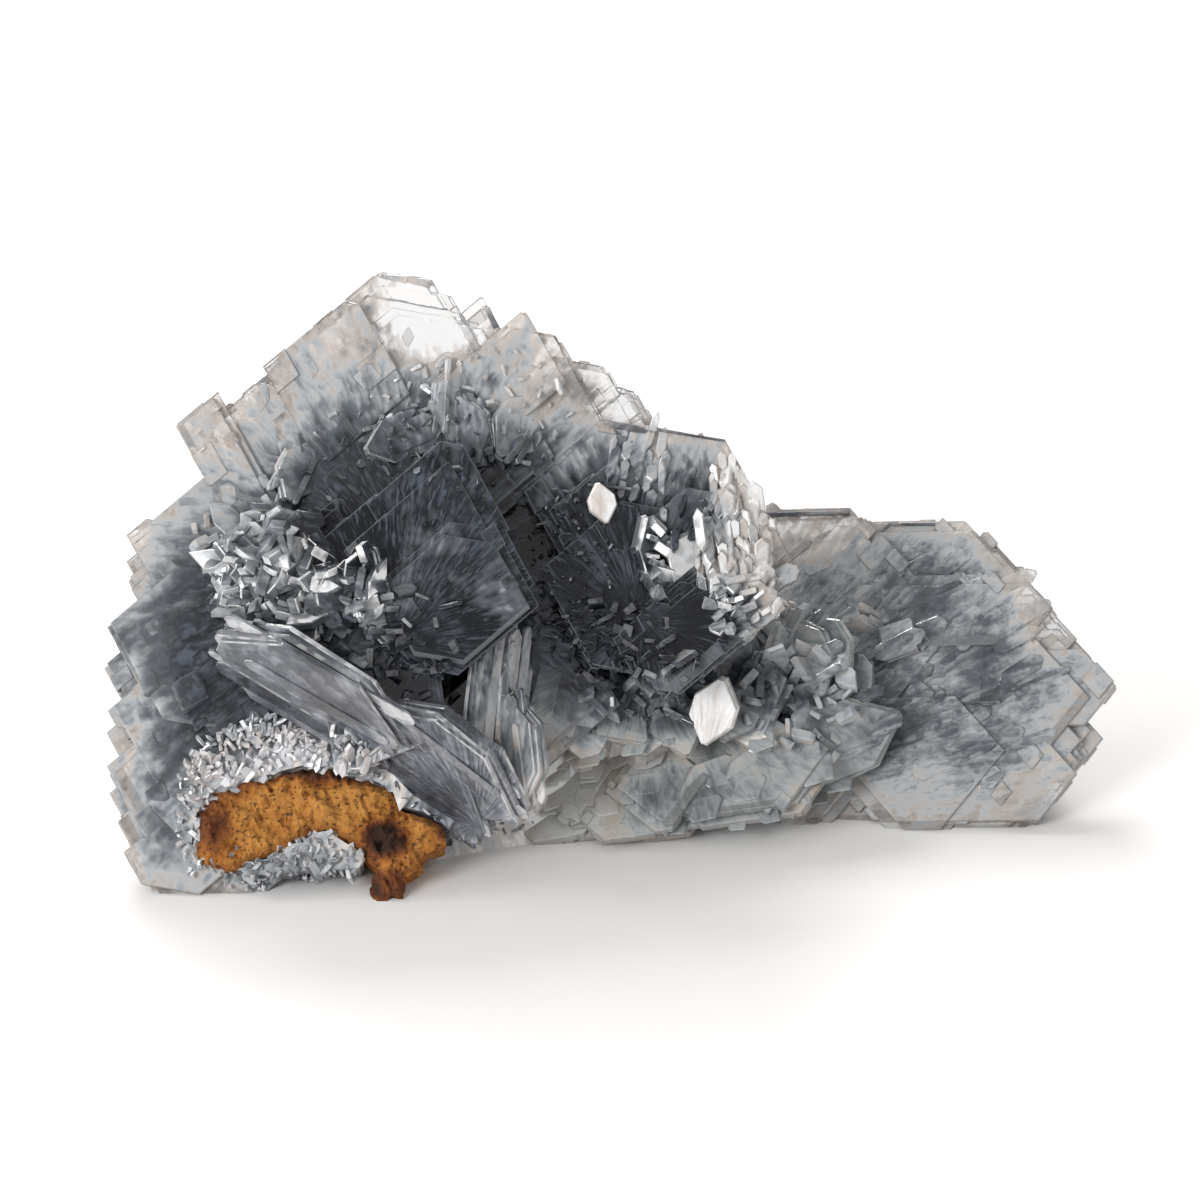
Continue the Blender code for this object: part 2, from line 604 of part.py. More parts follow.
def boolean(target, operation, other):
    """A live Boolean with one object, or with all of a collection."""
    modifier = target.modifiers.new(operation.lower(), "BOOLEAN")
    modifier.operation = operation
    modifier.solver = "EXACT"
    if isinstance(other, bpy.types.Collection):
        modifier.operand_type = "COLLECTION"
        modifier.collection = other
    else:
        modifier.object = other


def keep_largest_body(source, name):
    """The evaluated solid, without the pores that the blades enclose and chips that float free."""
    depsgraph = bpy.context.evaluated_depsgraph_get()
    mesh = bpy.data.meshes.new_from_object(source.evaluated_get(depsgraph))
    shape = bmesh.new()
    shape.from_mesh(mesh)
    unseen = set(shape.verts)
    bodies = []
    while unseen:
        front = [unseen.pop()]
        body = list(front)
        while front:
            following = {edge.other_vert(vert) for vert in front for edge in vert.link_edges}
            front = list(following & unseen)
            unseen.difference_update(front)
            body.extend(front)
        bodies.append(body)
    bodies.sort(key=len)
    loose = [vert for body in bodies[:-1] for vert in body]
    bmesh.ops.delete(shape, geom=loose, context="VERTS")
    shape.to_mesh(mesh)
    shape.free()
    mesh.name = name
    return mesh


def main():
    for old in list(bpy.data.objects):
        bpy.data.objects.remove(old)
    helpers = bpy.data.collections.new("cutters")
    joined = bpy.data.collections.new("blades")
    for collection in (helpers, joined):
        bpy.context.scene.collection.children.link(collection)

    meshes = lone_crystals(CROSSING_CRYSTALS, "crossing") + lone_crystals(STOUT_CRYSTALS, "stout")
    meshes += buttresses() + crust_crystals() + crust_beds()
    for family, blades, name in (
        (FAN, FAN_BLADES, "fan"),
        (SHOULDER, SHOULDER_BLADES, "shoulder"),
        (CENTRE, CENTRE_BLADES, "centre"),
        (SLAB, SLAB_BLADES, "slab"),
        (APRON, APRON_BLADES, "apron"),
    ):
        meshes += family_blades(family, blades, name)

    low = Vector((-SPECIMEN_LENGTH, -SPECIMEN_LENGTH, -FLOOR_SLAB))
    high = Vector((SPECIMEN_LENGTH, SPECIMEN_LENGTH, 0))
    below_floor = add_object(box_mesh("below_floor", low, high), "below_floor", helpers)
    socket = add_object(matrix_mesh("matrix_socket", MATRIX_GAP), "matrix_socket", helpers)

    first, *others = wedges()
    for mesh in meshes + others:
        add_object(mesh, mesh.name, joined)
    growth = add_object(first, "growth", helpers)
    boolean(growth, "UNION", joined)
    boolean(growth, "DIFFERENCE", socket)
    boolean(growth, "DIFFERENCE", below_floor)
    crystals = add_object(keep_largest_body(growth, "barite_crystals"), "barite_crystals")
    crystals.data.materials.clear()
    crystals.data.materials.append(material("blue_barite", (0.25, 0.29, 0.33), 0.25))

    remnant = add_object(matrix_mesh("limonite_matrix"), "limonite_matrix")
    remnant.data.materials.append(material("rusty_limonite", (0.45, 0.18, 0.05), 0.9))
    boolean(remnant, "DIFFERENCE", below_floor)


if __name__ == "__main__":
    main()
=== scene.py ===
"""Dresses the blue barite specimen: blades built of stacked sheets, small crystals and rusty matrix.

Main blades repeat the solids' layout, family by family. Small crystals are scattered by Geometry
Nodes over patches of the main growths. Lengths in the tables are in mm, and sheet places are in
units of a drawing sheet that faces the viewer, with SHEET_SPAN units to the specimen's length.
"""

import json
import math
import random
from collections import namedtuple

import bmesh
import bpy
from bpy.props import FloatProperty, FloatVectorProperty, IntProperty, PointerProperty
from mathutils import Euler, Matrix, Vector, noise
from mathutils.bvhtree import BVHTree
from mathutils.geometry import delaunay_2d_cdt, intersect_point_line

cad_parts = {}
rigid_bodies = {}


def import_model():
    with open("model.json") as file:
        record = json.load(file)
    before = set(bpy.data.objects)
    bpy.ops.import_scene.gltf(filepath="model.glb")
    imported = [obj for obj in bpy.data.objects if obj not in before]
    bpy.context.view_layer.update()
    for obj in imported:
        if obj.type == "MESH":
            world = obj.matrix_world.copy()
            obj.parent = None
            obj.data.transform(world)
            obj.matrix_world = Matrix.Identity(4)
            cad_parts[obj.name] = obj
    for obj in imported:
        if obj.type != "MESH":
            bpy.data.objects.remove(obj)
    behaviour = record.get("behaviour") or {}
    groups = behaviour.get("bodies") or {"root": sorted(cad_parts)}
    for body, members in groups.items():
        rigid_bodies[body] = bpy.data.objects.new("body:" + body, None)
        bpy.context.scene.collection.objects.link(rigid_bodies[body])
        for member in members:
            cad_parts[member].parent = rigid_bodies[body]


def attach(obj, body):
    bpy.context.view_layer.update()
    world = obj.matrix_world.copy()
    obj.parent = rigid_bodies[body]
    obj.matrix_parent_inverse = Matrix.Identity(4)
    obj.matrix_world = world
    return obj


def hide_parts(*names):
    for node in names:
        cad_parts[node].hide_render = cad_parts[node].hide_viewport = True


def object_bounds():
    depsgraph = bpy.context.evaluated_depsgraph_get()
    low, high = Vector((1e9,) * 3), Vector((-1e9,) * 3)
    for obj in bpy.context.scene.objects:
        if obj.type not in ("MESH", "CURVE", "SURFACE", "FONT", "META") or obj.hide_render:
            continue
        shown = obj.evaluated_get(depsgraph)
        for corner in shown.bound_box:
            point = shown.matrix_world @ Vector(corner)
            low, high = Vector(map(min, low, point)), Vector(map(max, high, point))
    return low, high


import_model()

bl_info = {
    "name": "Blue barite specimen",
    "version": (1, 0, 0),
    "blender": (4, 5, 0),
    "location": "3D View > Sidebar > Barite",
    "description": "Builds a cluster of tabular blue barite on rusty limonite",
    "category": "Object",
}

MM = 0.001
CAD_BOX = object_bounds()
CRYSTALS = "barite_crystals"
MATRIX = "limonite_matrix"

# Driving dimensions
SPECIMEN_LENGTH = 110 * MM
BLADE_THICKNESS = 1.9
MATRIX_THICKNESS = 6.5
PRISM_HALF_ANGLE = math.radians(39.15)
TRIM = 0.12

# The drawing sheet
SHEET_MIDDLE = 600
SHEET_SPAN = 1012
SHEET_UNIT = SPECIMEN_LENGTH / SHEET_SPAN
SHEET_DISTANCE = 600 * MM
LOOKING_DOWN = math.radians(25)
SHEET_PLACE = Vector((-1.7, 3.3, 23.2)) * MM
PHOTO_WIDTH = 1200
SENSOR_WIDTH = 36.0

RIGHT = Vector((1, 0, 0))
UP = Vector((0, math.sin(LOOKING_DOWN), math.cos(LOOKING_DOWN)))
NEAR = Vector((0, -math.cos(LOOKING_DOWN), math.sin(LOOKING_DOWN)))
EYE = SHEET_PLACE + NEAR * SHEET_DISTANCE
ON_FLOOR = Vector((SHEET_PLACE.x, SHEET_PLACE.y, 0))

CORNERS = {
    "middle": (0, 0),
    "top": (0, 1),
    "top_left": (-0.25, 1),
    "top_right": (0.25, 1),
    "left": (-1, 0),
    "right": (1, 0),
    "foot": (0, -1),
    "foot_right": (0.25, -1),
}

# Directions out of a blade's sides: two pairs of prism faces, the end faces and the side faces.
_LEAN = Vector((math.cos(PRISM_HALF_ANGLE), math.sin(PRISM_HALF_ANGLE)))
FALLING = Vector((-_LEAN.x, _LEAN.y))
RISING = _LEAN
SIDES = (FALLING, -FALLING, RISING, -RISING, Vector((0, 1)), Vector((0, -1)), Vector((1, 0)), Vector((-1, 0)))

Family = namedtuple("Family", "u v depth pitch yaw spin")
Blade = namedtuple("Blade", "corner u v layer falling rising ends")
Crystal = namedtuple("Crystal", "u v depth pitch yaw spin roll width tip thick")
Buttress = namedtuple("Buttress", "x y z lean turn spin width tip thick")
Edge = namedtuple("Edge", "family u v to_u to_v layer width thick")

FAN = Family(300, 600, -5.5, 10, 0, -10)
FAN_BLADES = (
    Blade("middle", 412, 440, 0.9, 12.5, 12.5, 14.0),
    Blade("middle", 335, 560, 0.2, 15.0, 15.0, 15.5),
    Blade("middle", 288, 722, -0.5, 13.5, 13.5, 13.5),
    Blade("middle", 480, 505, -1.3, 15.5, 15.5, 16.0),
    Blade("middle", 450, 680, -2.4, 14.0, 14.0, 14.0),
    # the peak and the edge that falls away to its left
    Blade("top_left", 380, 272, -0.4, 9.3, 9.3, 11.2),
    Blade("top_left", 345, 303, 1.3, 6.2, 6.2, 8.8),
    Blade("top_left", 321, 331, 0.4, 7.2, 7.2, 9.6),
    Blade("top_left", 296, 350, -0.6, 8.6, 8.6, 11.0),
    Blade("top_left", 262, 385, 0.7, 8.4, 6.4, 9.0),
    Blade("top", 218, 392, 1.9, 11.0, 2.9, 14.0),
    # the saw-toothed left edge, from the top down
    Blade("left", 131, 541, 0.6, 8.5, 9.5, 11.0),
    Blade("left", 127, 563, -0.5, 7.0, 6.0, 8.0),
    Blade("left", 128, 581, 0.3, 6.0, 7.0, 8.0),
    Blade("left", 107, 627, 1.2, 8.5, 8.0, 9.5),
    Blade("left", 104, 668, -0.2, 9.0, 8.5, 10.0),
    Blade("left", 112, 709, 0.8, 8.0, 8.0, 9.0),
    Blade("left", 107, 734, -0.6, 7.5, 8.0, 9.0),
    Blade("left", 107, 767, 0.4, 8.0, 8.0, 9.0),
    Blade("left", 109, 793, -0.9, 8.5, 8.0, 9.5),
    Blade("left", 118, 823, 0.1, 8.0, 8.0, 7.0),
    Blade("left", 126, 856, 0.9, 4.2, 5.0, 3.4),
    Blade("foot", 197, 888, 0.5, 5.5, 5.0, 5.6),
    # the edge that falls away to the right of the peak
    Blade("top_right", 452, 298, -1.1, 8.5, 8.5, 8.5),
    Blade("top", 487, 307, 0.5, 3.2, 2.6, 4.8),
    Blade("top", 521, 314, 1.0, 4.6, 4.6, 6.9),
    Blade("top_right", 556, 336, 0.2, 8.0, 8.0, 9.5),
    Blade("top_right", 604, 366, -2.0, 8.0, 8.0, 9.0),
    Blade("top_right", 626, 388, -1.0, 6.0, 6.0, 8.2),
    Blade("top_right", 638, 397, -2.8, 9.0, 9.0, 13.0),
)

SHOULDER = Family(680, 530, -6.0, 8, 4, -10)
SHOULDER_BLADES = (
    Blade("top_right", 725, 440, 0.0, 10.7, 10.5, 11.7),
    Blade("top_left", 604, 420, -1.1, 10.0, 9.0, 9.8),
    Blade("right", 788, 584, 0.9, 7.5, 8.5, 9.0),
    Blade("right", 778, 614, 2.0, 5.0, 6.5, 7.4),
    Blade("right", 742, 640, 2.9, 4.5, 6.0, 6.0),
    Blade("middle", 640, 590, 0.8, 8.5, 8.5, 9.0),
)

CENTRE = Family(450, 560, -11.5, 6, 0, -10)
CENTRE_BLADES = (
    Blade("top", 467, 464, 0.2, 8.0, 8.0, 11.5),
    Blade("top", 426, 484, -0.7, 7.0, 7.0, 10.0),
    Blade("top", 384, 497, -1.6, 7.0, 7.0, 10.5),
    Blade("top", 343, 499, -2.4, 6.0, 6.0, 9.0),
    Blade("right", 539, 606, 0.9, 6.5, 7.5, 8.0),
    Blade("right", 510, 530, -0.4, 6.0, 6.0, 8.0),
)

SLAB = Family(960, 700, 7.9, 20, -4, 0)
SLAB_BLADES = (
    Blade("middle", 905, 690, 0.4, 14.0, 14.0, 14.0),
    Blade("middle", 815, 650, -0.6, 13.0, 13.0, 13.0),
    Blade("middle", 745, 735, -1.4, 11.0, 11.0, 8.5),
    Blade("right", 1090, 700, 0.9, 13.5, 13.5, 14.0),
    # its upper edge, from left to right
    Blade("top_right", 850, 511, -0.3, 10.0, 10.0, 10.4),
    Blade("top_right", 862, 518, 1.2, 9.0, 9.0, 13.0),
    Blade("top_right", 934, 523, -0.9, 9.0, 9.0, 10.0),
    Blade("top_right", 966, 521, 0.5, 9.5, 9.5, 8.0),
    Blade("top_right", 989, 536, -0.5, 8.5, 8.5, 5.5),
    # its right edge, from the top down
    Blade("top_right", 1018, 573, 1.4, 8.5, 8.5, 4.6),
    Blade("top_right", 1037, 598, 0.0, 9.0, 9.0, 5.2),
    Blade("top_right", 1058, 626, -0.8, 8.0, 8.0, 4.6),
    Blade("right", 1116, 689, 0.4, 7.5, 7.5, 4.4),
    Blade("right", 1103, 739, -0.6, 8.0, 8.0, 6.0),
    Blade("right", 1077, 776, 1.0, 7.5, 7.5, 5.2),
    # the broken lower edge
    Blade("foot_right", 1020, 836, 0.2, 9.0, 9.0, 9.5),
    Blade("foot_right", 955, 836, 1.3, 8.0, 8.0, 8.6),
    Blade("foot_right", 885, 829, -0.3, 7.0, 7.0, 7.4),
    Blade("foot_right", 825, 831, 0.7, 6.5, 6.5, 6.6),
)

APRON = Family(690, 780, 0.5, 34, -6, 6)
APRON_BLADES = (
    Blade("middle", 645, 780, 0.0, 8.5, 8.5, 7.0),
    Blade("middle", 745, 772, 0.9, 8.0, 8.0, 6.0),
    Blade("foot", 690, 832, -0.7, 6.0, 6.0, 6.4),
    Blade("foot_right", 655, 838, 0.6, 6.5, 6.5, 7.0),
    Blade("foot", 578, 841, -0.4, 6.0, 6.0, 6.6),
    Blade("left", 533, 800, 0.3, 5.5, 5.5, 5.5),
    Blade("top", 570, 722, 1.0, 5.0, 5.0, 7.2),
    Blade("top", 660, 738, 1.7, 4.5, 4.5, 6.0),
)

SHEAF_CRYSTALS = (
    # the two long blades seen nearly edge on, lower left of the middle
    Crystal(312, 688, -14.0, 0, 0, -121, 52, 5.8, 12.5, 2.4),
    Crystal(352, 712, -12.5, 0, 4, -119, 60, 5.2, 9.0, 1.8),
    Crystal(452, 762, -13.0, 0, -4, -128, 46, 5.4, 10.5, 2.6),
    Crystal(438, 790, -11.0, 0, 0, -131, 40, 4.2, 8.0, 2.0),
)

UPRIGHT_CRYSTALS = (
    # the upright group beside them
    Crystal(497, 702, -9.5, 6, 0, -6, 48, 4.2, 9.5, 1.6),
    Crystal(514, 708, -7.0, 4, 0, -2, 62, 4.6, 9.0, 1.5),
    Crystal(513, 752, -11.0, 8, 0, 7, -38, 3.8, 7.2, 2.0),
)

SHADED_CRYSTALS = (
    # rounded plates in the shade of the hollow
    Crystal(570, 684, -4.0, 4, 16, -14, 0, 4.6, 5.6, 1.4),
    Crystal(556, 700, -5.5, 8, 10, 22, 0, 3.6, 4.8, 1.2),
    Crystal(618, 716, -3.5, 24, 10, 40, 0, 4.0, 4.8, 1.3),
    Crystal(652, 692, -2.0, 10, -12, -20, 0, 4.8, 5.2, 1.4),
    Crystal(678, 722, -3.0, 18, -8, 12, 0, 4.2, 4.6, 1.3),
    Crystal(736, 712, -2.5, 6, 24, -24, 0, 2.6, 4.0, 1.2),
    Crystal(762, 690, 0.0, 10, 38, 8, 0, 3.4, 4.8, 1.2),
    # the sheaf of thin blades on the slab
    Crystal(806, 656, 3.5, 12, -30, 24, 0, 3.2, 5.6, 1.1),
    Crystal(828, 648, 4.5, 14, -38, 30, 0, 3.0, 5.2, 1.0),
    Crystal(784, 664, 3.0, 8, 52, 12, 0, 3.0, 5.2, 1.0),
    Crystal(848, 676, 5.0, 20, -20, 38, 0, 3.0, 4.6, 1.0),
    # the long blades that fan out over the apron
    Crystal(838, 742, 1.5, 30, -6, -66, 22, 4.2, 8.2, 1.6),
    Crystal(776, 774, 0.0, 30, 0, -58, 30, 4.0, 8.4, 1.6),
    Crystal(720, 790, -1.5, 34, 4, -62, 20, 3.6, 6.4, 1.4),
)

FAN_CRYSTALS = (
    # short bundles on the upper fan
    Crystal(405, 436, -4.5, 30, 0, -66, 30, 2.6, 5.2, 1.3),
    Crystal(455, 400, -3.0, 8, 36, -8, 0, 2.8, 5.0, 1.2),
    Crystal(470, 430, -4.5, 4, -36, 16, 0, 2.6, 4.6, 1.2),
    Crystal(520, 425, -4.0, 12, 30, -34, 0, 3.0, 5.4, 1.2),
    Crystal(300, 470, -5.0, 10, 30, -30, 0, 2.6, 4.4, 1.2),
)

SINGLE_CRYSTALS = (
    # embedded in the slab, at its right
    Crystal(898, 640, 7.6, 20, 2, -30, 0, 2.6, 3.2, 1.2),
    Crystal(918, 698, 6.6, 24, -6, 8, 0, 2.0, 2.6, 1.2),
    # the round clear crystal at the lower left
    Crystal(190, 692, -10.0, 12, 6, -16, 0, 2.2, 2.6, 2.6),
)

WHITE_CRYSTALS = (
    # the white blade in front
    Crystal(714, 711, -4.5, -6, -14, -17, 0, 2.5, 4.3, 1.5),
    Crystal(602, 503, -8.5, 10, 10, 14, 0, 1.5, 2.5, 0.9),
)

BRIGHT_CRYSTALS = (
    # the bright nest left of the middle, its bright facets painted highlights
    Crystal(246, 540, -10.0, 0, 20, -48, 30, 1.8, 6.0, 1.4),
    Crystal(232, 572, -10.0, -8, -30, -10, 0, 2.4, 4.2, 1.2),
    Crystal(262, 592, -11.0, 10, 34, 16, 0, 2.8, 4.4, 1.2),
    Crystal(290, 566, -11.0, -6, 48, -28, 0, 2.6, 4.2, 1.2),
    Crystal(300, 612, -12.0, 14, -22, 30, 0, 3.2, 4.2, 1.3),
    Crystal(336, 600, -12.5, -4, 28, 8, 0, 2.6, 4.6, 1.2),
    Crystal(362, 584, -13.5, -8, -34, -22, 0, 2.6, 4.8, 1.2),
    Crystal(380, 606, -14.0, 12, 22, 14, 0, 3.0, 4.4, 1.2),
    # short blades that stand on the shoulder and in the hollow
    Crystal(690, 556, -9.0, -8, 16, -28, 0, 3.0, 4.0, 1.1),
    Crystal(714, 582, -8.5, 6, -20, -26, 0, 2.8, 3.6, 1.1),
    Crystal(655, 552, -8.5, 10, 40, 24, 0, 2.6, 4.6, 1.1),
)

# Thin dark edges of blades that are seen end on, and cracks
DARK_EDGES = (
    Edge("fan", 380, 273, 408, 279, 0.2, 0.50, 1.2),
    Edge("fan", 404, 278, 431, 286, 0.1, 0.36, 1.2),
    Edge("fan", 487, 308, 496, 328, 1.4, 0.30, 0.6),
    Edge("shoulder", 604, 422, 725, 441, 0.9, 0.14, 0.5),
    Edge("shoulder", 610, 425, 655, 434, 1.0, 0.24, 0.6),
    Edge("shoulder", 588, 485, 632, 489, 1.5, 0.14, 0.5),
    Edge("slab", 766, 515, 850, 513, 1.3, 0.18, 0.6),
    Edge("slab", 878, 534, 890, 525, 0.8, 0.20, 0.5),
    Edge("slab", 888, 525, 935, 525, 0.8, 0.16, 0.5),
    Edge("slab", 984, 611, 1008, 602, 2.0, 0.14, 0.4),
    Edge("slab", 985, 634, 998, 641, 2.0, 0.16, 0.4),
    Edge("slab", 998, 641, 1036, 633, 2.0, 0.12, 0.4),
    Edge("slab", 1012, 690, 1056, 672, 2.0, 0.14, 0.4),
    Edge("slab", 884, 722, 940, 704, 2.0, 0.12, 0.4),
    Edge("slab", 940, 704, 1000, 702, 2.0, 0.10, 0.4),
)

# Stout crystals under the others, which join the families into one body
STOUT_CRYSTALS = (
    Crystal(292, 590, -8.5, 8, 0, -10, 0, 7.0, 9.0, 6.0),
    Crystal(430, 580, -8.0, 6, 0, -10, 0, 8.0, 9.5, 6.5),
    Crystal(385, 700, -8.5, 6, 0, -30, 0, 9.0, 10.0, 7.0),
    Crystal(480, 740, -5.5, 8, 0, -10, 0, 7.0, 8.5, 8.0),
    Crystal(575, 705, -0.5, 14, 6, 10, 0, 7.0, 8.0, 6.0),
    Crystal(655, 712, 1.5, 20, 0, -14, 0, 7.0, 7.0, 6.0),
    Crystal(740, 706, 3.5, 20, -6, 18, 0, 7.0, 7.0, 6.0),
    Crystal(812, 682, 6.5, 20, -6, -20, 0, 6.0, 7.0, 5.0),
)

BUTTRESSES = (
    Buttress(-20, 11.0, 19, -14, 3, -6, 15.0, 20.0, 2.4),
    Buttress(-25, 13.6, 15, -14, 3, -6, 12.0, 16.0, 2.2),
    Buttress(-13, 13.9, 11, -14, 3, 10, 11.0, 13.0, 2.0),
    Buttress(-28, 8.5, 23, -14, 3, 4, 12.0, 17.0, 2.2),
    Buttress(-41, 2.0, 20, -10, -40, 8, 9.0, 16.0, 2.2),
    Buttress(-44, -3.0, 14, -10, -40, 8, 7.0, 12.0, 2.0),
    Buttress(4, 9.5, 16, -22, 16, -4, 14.0, 17.0, 2.4),
    Buttress(9, 12.0, 11, -22, 16, 8, 11.0, 13.0, 2.2),
    Buttress(20, 4.5, 10, -8, 62, -4, 10.0, 12.0, 2.2),
    Buttress(30, 12.0, 9, -30, -8, 6, 12.0, 12.5, 2.2),
    Buttress(38, 13.0, 7, -34, -14, -10, 9.0, 10.5, 2.0),
    Buttress(44, 7.0, 6, -16, -60, 0, 9.0, 9.0, 2.0),
)

# The massive barite in the middle, in mm from the floor under the sheet's middle
WEDGES = (
    (
        (-40, -17, 0), (-24, -19, 0), (-10, -12, 0), (2, -9, 0), (2, 13, 0), (-36, 12, 0),
        (-36, 3.5, 33), (-12, 5.5, 37), (-1, 2, 28),
    ),
    ((0, -9, 0), (18, -6, 0), (20, 11, 0), (0, 13, 0), (4, -1, 27), (16, -1, 25), (2, 2, 28)),
    ((14, -6, 0), (46, -4, 0), (47, 10, 0), (14, 13, 0), (18, 11, 13), (42, 11, 13)),
)

MATRIX_OUTLINE = (
    (222, 782), (243, 777), (272, 772), (302, 764), (324, 763), (345, 772), (369, 777), (390, 785),
    (399, 806), (432, 814), (447, 829), (447, 842), (431, 850), (424, 865), (409, 876), (403, 897),
    (376, 901), (371, 893), (373, 866), (350, 843), (325, 828), (313, 831), (301, 841), (284, 848),
    (259, 858), (242, 867), (224, 871), (206, 864), (191, 853), (194, 832), (196, 812), (203, 796),
)
MATRIX_FACE = Family(320, 820, -13.2, 14, 0, 0)
MATRIX_SWELL = 0.9
CRUST_BEDS = (
    Blade("middle", 300, 808, -4.3, 9.5, 9.5, 7.6),
    Blade("middle", 222, 804, -4.5, 6.0, 6.0, 7.4),
    Blade("middle", 385, 806, -5.0, 7.5, 7.5, 6.6),
)
BED_THICKNESS = 6.2

# Where the barite is smoky, and painted shade where the hollow, the places under the blades and the
# remnant, and the shaded left side of the centre blade fall dark: ellipsoids by the place of their
# middle on the sheet and its depth in mm, their half-axes across and up the sheet in its units, and
# how dark they are.
Core = namedtuple("Core", "u v depth wide high strength")

CORES = (
    Core(435, 550, -8, 285, 258, 0.9),
    Core(590, 590, -6, 150, 180, 1.3),
    Core(270, 660, -8, 185, 250, 0.8),
    Core(455, 660, -10, 140, 110, 1.4),
    Core(350, 540, -10, 110, 70, 1.25),
    Core(665, 624, -6, 128, 92, 1.3),
    Core(170, 800, -8, 64, 110, 0.4),
    Core(115, 650, -6, 80, 170, 0.28),
    Core(300, 872, -9, 120, 36, 0.5),
    Core(446, 818, -10, 54, 44, 0.5),
    Core(625, 470, -6, 54, 64, 0.6),
    Core(682, 530, -6, 90, 120, 0.7),
    Core(900, 665, 2, 285, 205, 0.43),
    Core(690, 690, 0, 215, 72, 0.8),
    Core(700, 800, 0, 130, 56, 0.34),
)

# Where it is clearest, and painted light on spots that the lamps leave too dark, such as the apron's
# left end and the slab's left side
CLEARINGS_AND_PAINTED_LIGHT = (
    Core(430, 315, -4, 70, 75, 0.42),
    Core(606, 385, -2, 60, 70, 0.26),
    Core(535, 400, -4, 60, 70, 0.12),
    Core(280, 785, -12, 100, 66, 0.5),
    Core(810, 590, 8, 80, 90, 0.14),
    Core(1040, 600, 8, 60, 80, 0.34),
    Core(1040, 800, 8, 70, 40, 0.14),
    Core(566, 800, 0, 80, 60, 0.3),
    Core(800, 527, 8, 90, 26, 0.16),
    Core(824, 646, 4, 50, 50, 0.16),
)
CORE_DEPTH = 34.0
CORE_HEART = 0.30

FAMILIES = {
    "fan": (FAN, FAN_BLADES, "fan_barite", 2.3),
    "shoulder": (SHOULDER, SHOULDER_BLADES, "shoulder_barite", 2.0),
    "centre": (CENTRE, CENTRE_BLADES, "centre_barite", 1.6),
    "slab": (SLAB, SLAB_BLADES, "slab_barite", 2.0),
    "apron": (APRON, APRON_BLADES, "apron_barite", 0.9),
}

# Dark stains on the rusty remnant
STAINS = (
    Core(386, 838, -13, 34, 30, 0.75),
    Core(208, 822, -13, 38, 54, 0.42),
    Core(335, 768, -13, 100, 26, 0.42),
    Core(388, 886, -13, 24, 26, 0.34),
    Core(236, 786, -13, 44, 18, 0.34),
    Core(440, 828, -13, 22, 24, 0.2),
)

# How a growth is coloured: the place that its feathery streaks run out from, how much of the smoky
# colour and painted shade of the cores it takes, an even darkening, how see-through it is where clear
# and where smoky, how white its painted highlights on facets are, a tint, how much the faces reflect,
# whether they are too small for growth lines, how many streaks there are to a turn of one radian, and
# how uneven it is.
Finish = namedtuple(
    "Finish",
    "root smoke lift see_through cloudy sparkle tint gloss small fine mottled",
    defaults=(0.5, False, 22.0, 1.0),
)

FINISHES = {
    "dark_barite": Finish((500, 600), 0.0, 0.72, 0.1, 0.0, 0.0, (1.0, 0.93, 0.88), 0.5, True),
    "fan_barite": Finish((420, 560), 0.95, 0.2, 0.82, 0.04, 0.0, (1.0, 0.98, 0.965), 0.35),
    "shoulder_barite": Finish((640, 620), 0.95, 0.13, 0.8, 0.04, 0.0, (1.0, 0.975, 0.96), 0.22),
    "centre_barite": Finish((400, 640), 0.95, 0.08, 0.5, 0.0, 0.0, (1.0, 0.985, 0.98), 0.2),
    "slab_barite": Finish(
        (620, 840), 0.95, 0.24, 0.74, 0.06, 0.0, (1.0, 0.99, 0.98), 0.4, False, 55.0, 0.85
    ),
    "apron_barite": Finish(
        (640, 640), 0.62, 0.29, 0.5, 0.1, 0.0, (1.0, 0.995, 0.955), 0.4, False, 22.0, 0.6
    ),
    "smoky_barite": Finish((500, 600), 0.9, 0.04, 0.5, 0.04, 0.25, (1.0, 1.0, 1.0), 0.3, True),
    "shaded_barite": Finish((500, 600), 0.8, 0.10, 0.3, 0.0, 0.12, (1.0, 1.0, 1.0), 0.2, True),
    "glassy_barite": Finish((500, 600), 0.75, 0.04, 0.5, 0.08, 1.0, (1.0, 1.0, 1.0), 0.5, True),
    # painted highlights: the shoulder's silvery ribs are painted as bright facets on a lighter body
    "painted_glint_barite": Finish((640, 640), 0.5, 0.05, 0.35, 0.1, 0.9, (1.0, 0.985, 0.97), 0.5, True),
    "lilac_barite": Finish((480, 820), 0.1, 0.66, 0.3, 0.1, 0.6, (0.985, 0.965, 1.0)),
    # painted light: a lighter copy of the lilac finish for the upright blades, which the lamps leave in shade
    "painted_light_lilac_barite": Finish((500, 900), 0.1, 0.46, 0.3, 0.1, 0.4, (1.0, 0.985, 0.98)),
    "sugary_barite": Finish((320, 820), 0.2, 0.24, 0.4, 0.12, 1.0, (0.98, 0.97, 1.0), 0.5, True),
    # painted shade: a darkened crust finish for the crust under the remnant, which lies in shade
    "painted_shade_crust_barite": Finish((320, 820), 0.2, 0.5, 0.3, 0.1, 0.6, (1.0, 0.97, 0.95), 0.5, True),
    "white_barite": Finish((700, 780), 0.0, 0.13, 0.1, 0.0, 0.2, (1.0, 0.99, 0.985), 0.5, True),
    "back_barite": Finish((430, 640), 0.9, 0.2, 0.0, 0.0, 0.0, (1.0, 1.0, 1.0), 0.4),
}

# A patch over which small crystals grow: an ellipse on the sheet (middle, half-axes, turn), the
# spacing and half-length of its crystals in mm, how far they lean in degrees, the family that they
# lie along (or None where they stand on the surface), their spin in it, their shape and finish.
Patch = namedtuple("Patch", "u v wide high turn spacing short long lean family spin shape finish")

